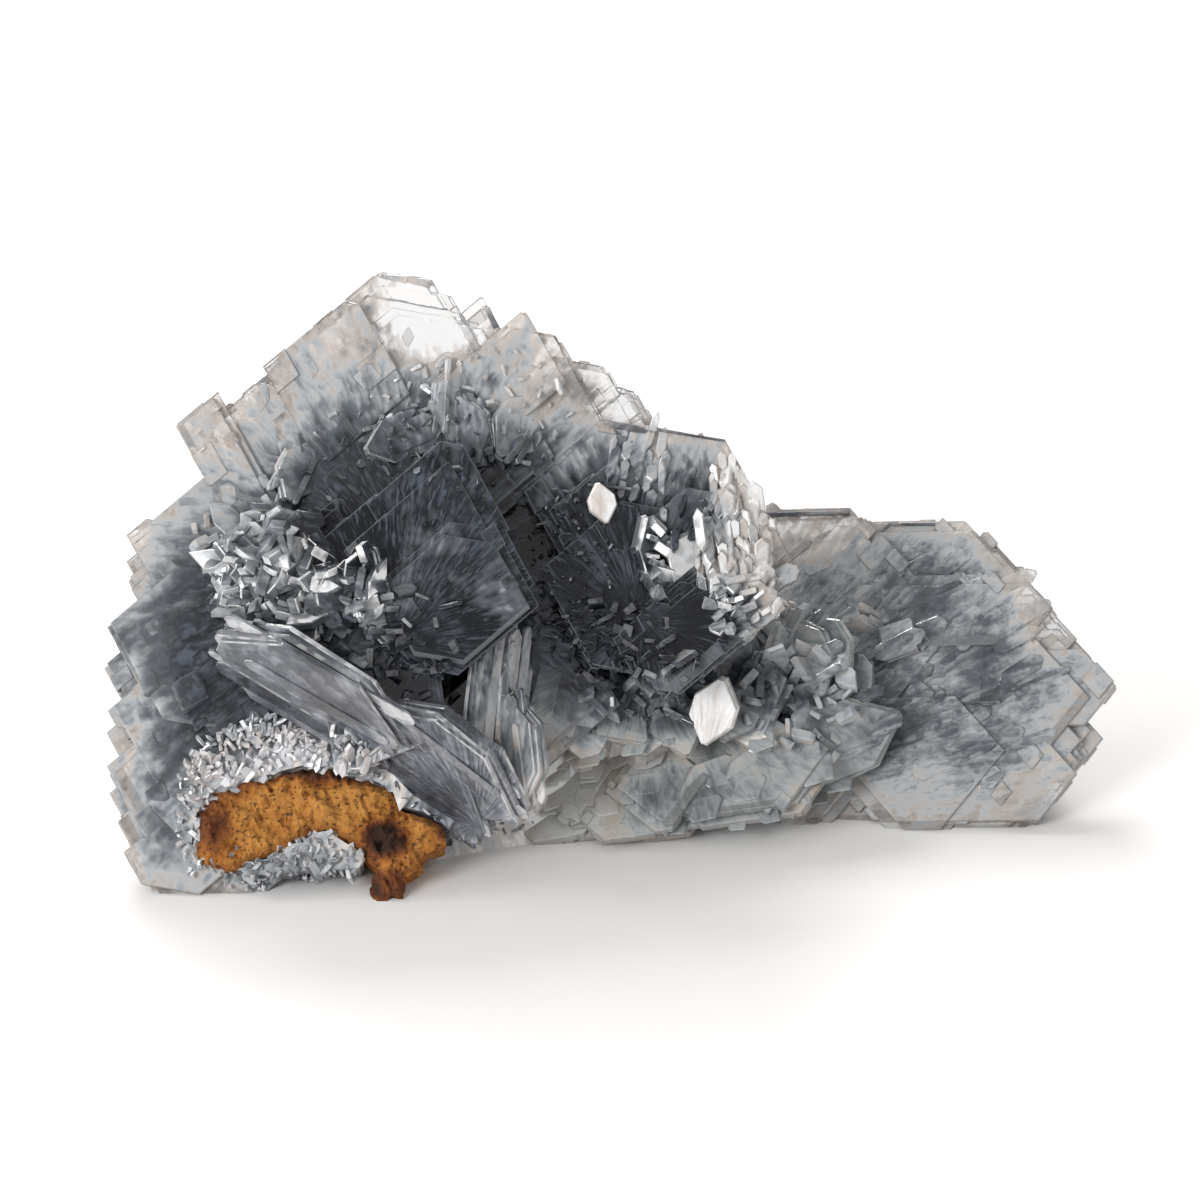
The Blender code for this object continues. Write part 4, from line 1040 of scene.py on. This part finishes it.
def limonite(settings):
    """Dull iron oxide, ochre to dark brown, pitted all over."""
    made, wire, shader, _ = new_material("rusty_limonite")
    place = wire.add("ShaderNodeTexCoord").outputs["Object"]
    mm = wire.vector("SCALE", place)
    mm.node.inputs["Scale"].default_value = 1 / MM
    broad = wire.noise(mm, 0.16, 3.0, 0.55, 0.8)
    fine = wire.noise(mm, 0.9, 6.0, 0.7, 0.4)
    grain = wire.noise(mm, 4.5, 4.0, 0.65)
    rim = wire.add("ShaderNodeAttribute", attribute_name="rim").outputs["Fac"]
    dots = [wire.vector("DOT_PRODUCT", mm, tuple(axis)) for axis in (RIGHT, UP, NEAR)]
    sheet = wire.add("ShaderNodeCombineXYZ", dict(enumerate(dots))).outputs[0]
    level = wire.math("MULTIPLY_ADD", fine, 1.1, wire.math("MULTIPLY_ADD", broad, 0.9, -0.24))
    level = wire.math("SUBTRACT", level, wire.between(rim, 0.0, 1.6, 0.24, 0.0))
    ragged = wire.math("MULTIPLY_ADD", fine, 1.6, 0.2)
    stain = wire.math("MULTIPLY", strongest(wire, sheet, STAINS), ragged)
    level = wire.math("SUBTRACT", level, stain)
    colour = wire.ramp(
        level,
        (0.0, settings.dark_brown),
        (0.25, settings.red_brown),
        (0.48, settings.rust),
        (0.78, settings.ochre),
    )
    pits = wire.noise(mm, 2.3, 2.0, 0.5)
    speck = wire.between(pits, 0.58, 0.67, 0.0, 0.8)
    paint = wire.add("ShaderNodeMix", {0: speck, 6: colour, 7: (*settings.dark_brown, 1.0)},
                     data_type="RGBA").outputs[2]
    wire.tree.links.new(paint, shader.inputs["Base Color"])
    shader.inputs["Roughness"].default_value = 0.92
    shader.inputs["Specular IOR Level"].default_value = 0.25
    relief = wire.math("MULTIPLY_ADD", grain, 0.5, fine)
    bump = wire.add("ShaderNodeBump", {"Strength": 1.0, "Distance": 0.5 * MM, "Height": relief})
    wire.tree.links.new(bump.outputs[0], shader.inputs["Normal"])
    return made


def finish_material(name):
    """The material of this name, made when it is first asked for."""
    found = bpy.data.materials.get(name)
    return found or barite(name, bpy.context.scene.barite_colours)


# Small crystals


def scatter_tree():
    """Geometry nodes that stand copies of a crystal on the faces of a patch."""
    tree = bpy.data.node_groups.new("small_crystals", "GeometryNodeTree")
    inputs = (
        ("Patch", "NodeSocketGeometry", None),
        ("Crystal", "NodeSocketObject", None),
        ("Spacing", "NodeSocketFloat", 0.001),
        ("Shortest", "NodeSocketFloat", 1.0),
        ("Longest", "NodeSocketFloat", 2.0),
        ("Lean", "NodeSocketFloat", 0.5),
        ("Parallel", "NodeSocketBool", False),
        ("Lie", "NodeSocketRotation", None),
        ("Spin", "NodeSocketFloat", 3.14),
        ("Sunk", "NodeSocketFloat", 0.0),
        ("Seed", "NodeSocketInt", 1),
        ("Finish", "NodeSocketMaterial", None),
    )
    for name, kind, default in inputs:
        made = tree.interface.new_socket(name, in_out="INPUT", socket_type=kind)
        if default is not None:
            made.default_value = default
    tree.interface.new_socket("Crystals", in_out="OUTPUT", socket_type="NodeSocketGeometry")
    wire = Wiring(tree)
    given = wire.add("NodeGroupInput").outputs
    points = wire.add(
        "GeometryNodeDistributePointsOnFaces",
        {"Mesh": given["Patch"], "Distance Min": given["Spacing"], "Density Max": 4e6,
         "Seed": given["Seed"]},
        distribute_method="POISSON",
    )

    def chance(kind, low, high, salt):
        seed = wire.math("ADD", given["Seed"], salt)
        node = wire.add("FunctionNodeRandomValue", {"Seed": seed}, data_type=kind)
        used = [s for s in node.inputs if s.enabled and s.name in ("Min", "Max")]
        for socket, value in zip(used, (low, high)):
            if isinstance(value, bpy.types.NodeSocket):
                tree.links.new(value, socket)
            else:
                socket.default_value = value
        return next(s for s in node.outputs if s.enabled)

    toned = wire.add(
        "GeometryNodeStoreNamedAttribute",
        {"Geometry": points.outputs["Points"], "Name": "tone", "Value": chance("FLOAT", 0.0, 1.0, 5)},
        data_type="FLOAT",
    )
    lie = wire.add(
        "GeometryNodeSwitch",
        {"Switch": given["Parallel"], "False": points.outputs["Rotation"], "True": given["Lie"]},
        input_type="ROTATION",
    )
    less = wire.math("MULTIPLY", given["Lean"], -1.0)
    spin_less = wire.math("MULTIPLY", given["Spin"], -1.0)
    low = wire.add("ShaderNodeCombineXYZ", {0: less, 1: less, 2: spin_less}).outputs[0]
    high = wire.add("ShaderNodeCombineXYZ", {0: given["Lean"], 1: given["Lean"], 2: given["Spin"]})
    turn = wire.add(
        "FunctionNodeEulerToRotation", {0: chance("FLOAT_VECTOR", low, high.outputs[0], 11)}
    )
    turn = wire.add(
        "FunctionNodeRotateRotation",
        {"Rotation": lie.outputs[0], "Rotate By": turn.outputs[0]},
        rotation_space="LOCAL",
    )
    size = chance("FLOAT", given["Shortest"], given["Longest"], 17)
    stretch = chance("FLOAT_VECTOR", (0.6, 0.6, 0.6), (1.3, 1.3, 1.3), 23)
    scale = wire.vector("SCALE", stretch)
    tree.links.new(size, scale.node.inputs["Scale"])
    crystal = wire.add("GeometryNodeObjectInfo", {"Object": given["Crystal"]})
    placed = wire.add(
        "GeometryNodeInstanceOnPoints",
        {"Points": toned.outputs[0], "Instance": crystal.outputs["Geometry"],
         "Rotation": turn.outputs[0], "Scale": scale},
    )
    drop = wire.add("ShaderNodeCombineXYZ", {2: wire.math("MULTIPLY", given["Sunk"], size)})
    moved = wire.add(
        "GeometryNodeTranslateInstances",
        {"Instances": placed.outputs[0], "Translation": drop.outputs[0], "Local Space": True},
    )
    real = wire.add("GeometryNodeRealizeInstances", {0: moved.outputs[0]})
    painted = wire.add(
        "GeometryNodeSetMaterial", {"Geometry": real.outputs[0], "Material": given["Finish"]}
    )
    out = wire.add("NodeGroupOutput")
    tree.links.new(painted.outputs[0], out.inputs[0])
    return tree


def template(shape):
    """A crystal of unit half-length that the scatter copies, standing or lying as its name says."""
    standing = Matrix.Rotation(math.radians(90), 3, "X")
    forms = {
        "blade": (both_ways(0.55, 0.55, 0.9, 0.62), 0.42, standing),
        "lath": (both_ways(0.5, 0.5, 0.92, 0.24), 0.34, Matrix.Identity(3)),
        "flake": (both_ways(0.62, 0.62, 0.8, 0.9), 0.12, Matrix.Identity(3)),
        "shingle": (both_ways(0.7, 0.7, 1.0, 0.34), 0.13, Matrix.Identity(3)),
        "facet": (both_ways(0.66, 0.66, 1.3, 0.55), 0.44, standing),
        "needle": (both_ways(0.5, 0.5, 1.2, 0.3), 0.34, standing),
    }
    reaches, thickness, axes = forms[shape]
    zone = [reach + DEEP_IN for reach in reaches]
    mesh = blade_body(reaches, Vector(), axes, thickness, 0.5, zone, bevel=0.05)
    mesh.attributes.remove(mesh.attributes["tone"])
    made = bpy.data.objects.new("template_" + shape, mesh)
    bpy.context.scene.collection.objects.link(made)
    return made


def surface_under(pieces):
    """A tree of all the pieces' faces, for casting rays from the viewer, and which are bare."""
    verts, faces, bare = [], [], []
    for piece in pieces:
        start = len(verts)
        verts += [v.co.copy() for v in piece.data.vertices]
        faces += [[start + i for i in p.vertices] for p in piece.data.polygons]
        bare += [piece.name in BARE_PIECES] * len(piece.data.polygons)
    return BVHTree.FromPolygons(verts, faces), bare


def patch_mesh(patch, surface):
    """A skin over what the viewer sees inside the patch's ellipse."""
    surface, bare = surface
    turn = math.radians(patch.turn)
    columns = int(2 * patch.wide / PATCH_GRID)
    rows = int(2 * patch.high / PATCH_GRID)
    shape = bmesh.new()
    hits = {}
    for i in range(columns + 1):
        for j in range(rows + 1):
            a, b = 2 * i / columns - 1, 2 * j / rows - 1
            if a * a + b * b > 1:
                continue
            across, down = a * patch.wide, b * patch.high
            u = patch.u + across * math.cos(turn) - down * math.sin(turn)
            v = patch.v + across * math.sin(turn) + down * math.cos(turn)
            ray = (seen_at(u, v, 0.0) - EYE).normalized()
            point, _, face, _ = surface.ray_cast(EYE, ray)
            if point and not bare[face]:
                hits[i, j] = shape.verts.new(point)
    for (i, j), corner in hits.items():
        ring = [corner, hits.get((i, j + 1)), hits.get((i + 1, j + 1)), hits.get((i + 1, j))]
        if all(ring):
            depths = [v.co.dot(NEAR) for v in ring]
            if max(depths) - min(depths) < PATCH_JUMP:
                shape.faces.new(ring)
    mesh = bpy.data.meshes.new("patch")
    shape.to_mesh(mesh)
    shape.free()
    return mesh


def scattered(name, patch, tree, templates, surface, seed):
    """The small crystals of one patch, as a plain mesh object."""
    host = bpy.data.objects.new("patch", patch_mesh(patch, surface))
    bpy.context.scene.collection.objects.link(host)
    modifier = host.modifiers.new("grow", "NODES")
    modifier.node_group = tree
    lie = Euler((0, 0, 0))
    if patch.family:
        chosen = FAMILIES[patch.family][0]
        lie = turned(chosen.pitch, chosen.yaw, chosen.spin + patch.spin).to_euler()
    values = {
        "Crystal": templates[patch.shape],
        "Spacing": patch.spacing * MM,
        "Shortest": patch.short,
        "Longest": patch.long,
        "Lean": math.radians(patch.lean),
        "Parallel": patch.family is not None,
        "Lie": lie,
        "Spin": math.radians(9) if patch.family else math.pi,
        "Sunk": 0.0,
        "Seed": seed,
        "Finish": finish_material(patch.finish),
    }
    for item in tree.interface.items_tree:
        if item.item_type == "SOCKET" and item.name in values:
            modifier[item.identifier] = values[item.name]
    made = plain(host, name)
    mesh = host.data
    bpy.data.objects.remove(host)
    bpy.data.meshes.remove(mesh)
    return made


# The rusty remnant


def within(point, outline):
    """Whether a point lies inside an outline."""
    inside = False
    for i, start in enumerate(outline):
        end = outline[(i + 1) % len(outline)]
        if (start.y > point.y) != (end.y > point.y):
            crossing = start.x + (point.y - start.y) / (end.y - start.y) * (end.x - start.x)
            inside ^= point.x < crossing
    return inside


def edge_distance(point, outline):
    """How far a point inside an outline is from its edge."""
    nearest = 1.0
    for i, start in enumerate(outline):
        end = outline[(i + 1) % len(outline)]
        _, share = intersect_point_line(point, start, end)
        foot = start.lerp(end, min(max(share, 0.0), 1.0))
        nearest = min(nearest, (point - foot).length)
    return nearest


def matrix_outline(ragged, grow, pieces):
    """The remnant's outline on its own plane in mm, with a ragged edge or grown all round."""
    axes = turned(MATRIX_FACE.pitch, 0, 0)
    origin = seen_at(MATRIX_FACE.u, MATRIX_FACE.v, MATRIX_FACE.depth * MM)
    corners = []
    for u, v in MATRIX_OUTLINE:
        place = (on_plane(u, v, MATRIX_FACE, axes, 0.0) - origin) / MM
        corners.append(Vector((place.dot(axes.col[0]), place.dot(axes.col[1]))))
    outline = []
    for i, start in enumerate(corners):
        end = corners[(i + 1) % len(corners)]
        along = (end - start).normalized()
        inwards = Vector((along.y, -along.x))
        for step in range(pieces):
            point = start.lerp(end, step / pieces)
            wobble = noise.noise(Vector((point.x, point.y, 3.0)) * 0.9) + 0.45
            outline.append(point + inwards * (ragged * wobble - 1.3 * grow))
    return axes, origin, outline


def rust_height(point, depth_in, relief):
    """Height of the rusty face above its plane, in mm."""
    x, y = point.x, point.y
    shoulder = 1.8 * (1 - math.exp(-depth_in / 1.1)) - 1.8
    swell = math.sin(0.55 * x + 0.8) * math.cos(0.8 * y - 0.4) + 0.6 * math.sin(1.3 * x + 1.1 * y)
    height = shoulder + MATRIX_SWELL * swell * min(1.0, depth_in / 2)
    if relief:
        rough = noise.fractal(Vector((x, y, 0)) * 0.8, 0.7, 2.1, 5)
        cell = noise.voronoi(Vector((x, y, 0)) * 0.75)[0][0]
        pit = max(0.0, 0.36 - cell) * 1.9
        height += relief * (0.55 * rough - pit)
    return height


def matrix_solid(name, step, relief, ragged, grow=0.0, pieces=1):
    """The remnant as a closed mesh: a rough face on a slab with rough walls."""
    axes, origin, outline = matrix_outline(ragged, grow, pieces)
    left, right = min(p.x for p in outline), max(p.x for p in outline)
    low, high = min(p.y for p in outline), max(p.y for p in outline)
    grid = [
        Vector((left + (i + 0.5 * (j % 2)) * step, low + j * step))
        for i in range(int((right - left) / step) + 1)
        for j in range(int((high - low) / step) + 1)
    ]
    inside = [p for p in grid if within(p, outline) and edge_distance(p, outline) > 0.4 * step]
    count = len(outline)
    edges = [(i, (i + 1) % count) for i in range(count)]
    made = delaunay_2d_cdt(outline + inside, edges, [], 1, 1e-5)
    flat, faces = made[0], made[2]
    shape = bmesh.new()
    rim = shape.verts.layers.float.new("rim")
    front = []
    for point in flat:
        depth_in = edge_distance(point, outline)
        top = rust_height(point, depth_in, relief) + grow
        front.append(shape.verts.new(origin + axes @ Vector((point.x, point.y, top)) * MM))
        front[-1][rim] = depth_in
    for face in faces:
        shape.faces.new([front[i] for i in face])
    levels = max(1, int(MATRIX_THICKNESS / (2 * step))) if relief else 1
    ring = front[:count]
    for level in range(1, levels + 1):
        share = level / levels
        lower = []
        for i, point in enumerate(flat[:count]):
            start = rust_height(point, 0.0, relief) + grow
            depth = start + (-MATRIX_THICKNESS - grow - start) * share
            bulge = relief * 0.5 * noise.fractal(Vector((point.x, point.y, depth)) * 0.7, 0.8, 2, 4)
            reach = point * (1 + (bulge - 0.2 * relief) / max(point.length, 1.0))
            lower.append(shape.verts.new(origin + axes @ Vector((reach.x, reach.y, depth)) * MM))
            lower[-1][rim] = 0.0
        for i in range(count):
            j = (i + 1) % count
            shape.faces.new([ring[i], ring[j], lower[j], lower[i]])
        ring = lower
    shape.faces.new(ring)
    bmesh.ops.triangulate(shape, faces=[f for f in shape.faces if len(f.verts) > 3])
    bmesh.ops.recalc_face_normals(shape, faces=shape.faces)
    mesh = bpy.data.meshes.new(name)
    shape.to_mesh(mesh)
    shape.free()
    return mesh


# Settings


def length_setting(name, description, default):
    return FloatProperty(name=name, description=description, default=default, min=0.0)


def colour_setting(name, description, default):
    return FloatVectorProperty(
        name=name, description=description, default=default, size=3, subtype="COLOR", min=0, max=1
    )


class BariteBlades(bpy.types.PropertyGroup):
    sheets: IntProperty(name="Sheets", description="Sheets stacked in each blade", default=3, min=1)
    sheet_step: length_setting("Sheet step", "Largest step back of a sheet, in mm", 1.6)
    tooth_spacing: length_setting("Tooth spacing", "Distance between rim teeth, in mm", 3.0)
    tooth_height: length_setting("Tooth height", "Furthest a tooth stands proud, in mm", 0.22)


class BariteColours(bpy.types.PropertyGroup):
    clear_tip: colour_setting("Clear tip", "Barite at the clear tips", (0.93, 0.935, 0.94))
    brown_rim: colour_setting("Brown rim", "The pale brown rim", (0.64, 0.58, 0.535))
    blue_band: colour_setting("Blue band", "The blue-grey band", (0.41, 0.436, 0.458))
    slate_band: colour_setting("Slate band", "The dark slate inside it", (0.103, 0.114, 0.128))
    smoky_heart: colour_setting("Smoky heart", "The smoky heart", (0.008, 0.009, 0.012))
    wisp: colour_setting("Wisps", "Pale feathery wisps in the smoky hearts", (0.13, 0.152, 0.192))
    # the colour of the painted highlights on facets
    glint: colour_setting("Glints", "Facets that catch the light", (0.90, 0.90, 0.90))
    outline: colour_setting("Outlines", "Thin dark edges of pale blades", (0.10, 0.085, 0.075))
    pale_line: colour_setting("Pale outlines", "Thin pale edges of dark ones", (0.22, 0.235, 0.255))
    absorption: colour_setting("Absorption", "Colour that light keeps inside", (0.60, 0.66, 0.72))
    absorption_density: FloatProperty(
        name="Absorption density", description="Absorption per metre", default=90.0, min=0.0
    )


class BariteRust(bpy.types.PropertyGroup):
    relief: length_setting("Relief", "Roughness of the rusty face, in mm", 1.4)
    grain: length_setting("Grain", "Size of its facets, in mm", 0.42)
    ochre: colour_setting("Ochre", "Bright ochre of the middle", (0.58, 0.27, 0.066))
    rust: colour_setting("Rust", "Orange rust", (0.42, 0.16, 0.035))
    red_brown: colour_setting("Red brown", "Red-brown edge", (0.19, 0.062, 0.022))
    dark_brown: colour_setting("Dark brown", "Pits and stains", (0.045, 0.022, 0.014))


class BariteStage(bpy.types.PropertyGroup):
    floor: colour_setting("Floor", "Colour of the floor", (0.872, 0.86, 0.848))
    surround: FloatProperty(name="Surround", description="Light from all round", default=0.60)
    lamp_power: FloatProperty(name="Lamp", description="Power of the overhead lamp", default=5.9)


def settings_of(kind):
    """The scene's settings of one kind."""
    return getattr(bpy.context.scene, kind)


# Operators


class BARITE_OT_family(bpy.types.Operator):
    """Build one family of parallel blades"""

    bl_idname = "barite.family"
    bl_label = "Blade family"
    family: bpy.props.StringProperty(name="Family", description="Which growth", default="fan")

    def execute(self, context):
        family, blades, finish, tooth = FAMILIES[self.family]
        seed = 11 + sorted(FAMILIES).index(self.family)
        bodies = family_bodies(family, blades, settings_of("barite_blades"), tooth, seed)
        piece = joined(self.family + "_blades", bodies)
        stand_for(piece, CRYSTALS, finish_material(finish))
        return {"FINISHED"}


class BARITE_OT_crossing(bpy.types.Operator):
    """Build the crystals that stand across the families"""

    bl_idname = "barite.crossing"
    bl_label = "Crossing crystals"

    def execute(self, context):
        groups = (
            ("sheaf_blades", SHEAF_CRYSTALS, 5, 3.0, 16, "lilac_barite"),
            ("shaded_blades", SHADED_CRYSTALS, 3, 5.0, 0, "apron_barite"),
            ("bundle_blades", FAN_CRYSTALS, 3, 6.0, 9, "smoky_barite"),
            ("bright_blades", BRIGHT_CRYSTALS, 3, 4.0, 0, "glassy_barite"),
            ("white_blades", WHITE_CRYSTALS, 2, 2.0, 0, "white_barite"),
            # the upright blades take the lighter lilac copy, as painted light
            ("upright_blades", UPRIGHT_CRYSTALS, 5, 3.0, 16, "painted_light_lilac_barite"),
            ("single_blades", SINGLE_CRYSTALS, 2, 3.0, 0, "slab_barite"),
        )
        for seed, (name, crystals, laths, splay, fibres, finish) in enumerate(groups):
            dice = random.Random(31 + seed)
            bodies = lone_bodies(crystals, dice, laths, splay)
            bodies += fibre_bodies(crystals, dice, fibres, splay)
            piece = joined(name, bodies)
            stand_for(piece, CRYSTALS, finish_material(finish))
        piece = joined("dark_edges", edge_bodies(DARK_EDGES))
        stand_for(piece, CRYSTALS, finish_material("dark_barite"))
        return {"FINISHED"}


class BARITE_OT_back(bpy.types.Operator):
    """Build the massive middle, the beds under the crust and the blades of the back"""

    bl_idname = "barite.back"
    bl_label = "Back and middle"

    def execute(self, context):
        dice = random.Random(41)
        bodies = wedge_bodies() + buttress_bodies(dice, settings_of("barite_blades"))
        bodies += lone_bodies(STOUT_CRYSTALS, dice, 1, 0.0) + bed_bodies()
        socket = matrix_solid("socket", 1.6, 0.0, 0.0, grow=0.3)
        piece = joined("back_blades", bodies, (socket,))
        stand_for(piece, CRYSTALS, finish_material("back_barite"))
        return {"FINISHED"}


class BARITE_OT_small(bpy.types.Operator):
    """Scatter the small crystals over the main growths"""

    bl_idname = "barite.small"
    bl_label = "Small crystals"

    def execute(self, context):
        hosts = [ob for ob in context.scene.objects if ob.name.endswith("_blades")]
        if not hosts:
            raise RuntimeError("build the blades first")
        surface = surface_under(hosts)
        tree = scatter_tree()
        templates = {shape: template(shape) for shape in SHAPES}
        for number, patch in enumerate(PATCHES):
            name = f"small_crystals_{number + 1:02d}"
            piece = scattered(name, patch, tree, templates, surface, 100 + number)
            if piece.data.vertices:
                stand_for(piece, CRYSTALS, finish_material(patch.finish))
            else:
                raise RuntimeError(f"no surface under patch {number + 1}")
        for spare in templates.values():
            bpy.data.objects.remove(spare)
        return {"FINISHED"}


class BARITE_OT_remnant(bpy.types.Operator):
    """Build the rusty remnant"""

    bl_idname = "barite.remnant"
    bl_label = "Rusty remnant"

    def execute(self, context):
        rust = settings_of("barite_rust")
        mesh = matrix_solid("rusty_remnant", rust.grain, rust.relief, 0.35, pieces=5)
        source = bpy.data.objects.new("source", mesh)
        context.scene.collection.objects.link(source)
        piece = plain(source, "rusty_remnant")
        bpy.data.objects.remove(source)
        stand_for(piece, MATRIX, limonite(rust))
        return {"FINISHED"}


class BARITE_OT_stage(bpy.types.Operator):
    """Build the floor, the lights and the camera"""

    bl_idname = "barite.stage"
    bl_label = "Stage"

    def execute(self, context):
        stage = settings_of("barite_stage")
        scene = context.scene
        scene.view_settings.view_transform = "Standard"
        shape = bmesh.new()
        bmesh.ops.create_grid(shape, x_segments=1, y_segments=1, size=3.0)
        mesh = bpy.data.meshes.new("floor")
        shape.to_mesh(mesh)
        shape.free()
        floor = bpy.data.objects.new("floor", mesh)
        scene.collection.objects.link(floor)
        made, _, shader, _ = new_material("floor_card")
        shader.inputs["Base Color"].default_value = (*stage.floor, 1.0)
        shader.inputs["Roughness"].default_value = 0.9
        shader.inputs["Specular IOR Level"].default_value = 0.1
        floor.data.materials.append(made)

        world = bpy.data.worlds.new("tent")
        world.use_nodes = True
        background = world.node_tree.nodes["Background"]
        background.inputs["Color"].default_value = (1.0, 1.0, 1.0, 1.0)
        background.inputs["Strength"].default_value = stage.surround
        scene.world = world
        lamps = (
            ("overhead", Vector((-0.16, 0.64, 0.53)), 0.40, 1.0),
            ("left", Vector((-0.6, 0.10, 0.45)), 0.20, 0.16),
            ("front", Vector((-0.50, -0.58, 0.32)), 0.32, 0.72),
        )
        for name, place, size, share in lamps:
            light = bpy.data.lights.new(name, "AREA")
            light.size = size
            light.energy = stage.lamp_power * share
            lamp = bpy.data.objects.new(name, light)
            lamp.location = place
            lamp.rotation_euler = (SHEET_PLACE - place).to_track_quat("-Z", "Y").to_euler()
            scene.collection.objects.link(lamp)

        camera = bpy.data.cameras.new("camera")
        camera.sensor_width = SENSOR_WIDTH
        camera.lens = SENSOR_WIDTH * SHEET_DISTANCE / (PHOTO_WIDTH * SHEET_UNIT)
        camera.clip_start = 0.01
        holder = bpy.data.objects.new("camera", camera)
        pose = Matrix((RIGHT, UP, NEAR)).transposed().to_4x4()
        pose.translation = EYE
        holder.matrix_world = pose
        scene.collection.objects.link(holder)
        scene.camera = holder
        return {"FINISHED"}


class BARITE_PT_panel(bpy.types.Panel):
    """Lists the steps that build the specimen"""

    bl_label = "Blue barite"
    bl_idname = "BARITE_PT_panel"
    bl_space_type = "VIEW_3D"
    bl_region_type = "UI"
    bl_category = "Barite"

    def draw(self, context):
        layout = self.layout
        for kind in SETTINGS:
            box = layout.box()
            group = getattr(context.scene, kind)
            for name in group.__annotations__:
                box.prop(group, name)
        for operator in OPERATORS:
            layout.operator(operator.bl_idname)


SETTINGS = {
    "barite_blades": BariteBlades,
    "barite_colours": BariteColours,
    "barite_rust": BariteRust,
    "barite_stage": BariteStage,
}
OPERATORS = (
    BARITE_OT_family,
    BARITE_OT_crossing,
    BARITE_OT_back,
    BARITE_OT_small,
    BARITE_OT_remnant,
    BARITE_OT_stage,
)


def register():
    for group in SETTINGS.values():
        bpy.utils.register_class(group)
    for kind, group in SETTINGS.items():
        setattr(bpy.types.Scene, kind, PointerProperty(type=group))
    for operator in OPERATORS:
        bpy.utils.register_class(operator)
    bpy.utils.register_class(BARITE_PT_panel)


def unregister():
    bpy.utils.unregister_class(BARITE_PT_panel)
    for operator in reversed(OPERATORS):
        bpy.utils.unregister_class(operator)
    for kind in SETTINGS:
        delattr(bpy.types.Scene, kind)
    for group in reversed(SETTINGS.values()):
        bpy.utils.unregister_class(group)


def main():
    register()
    for family in ("fan", "shoulder", "centre", "slab", "apron"):
        bpy.ops.barite.family(family=family)
    bpy.ops.barite.crossing()
    bpy.ops.barite.back()
    bpy.ops.barite.small()
    bpy.ops.barite.remnant()
    bpy.ops.barite.stage()


if __name__ == "__main__":
    main()
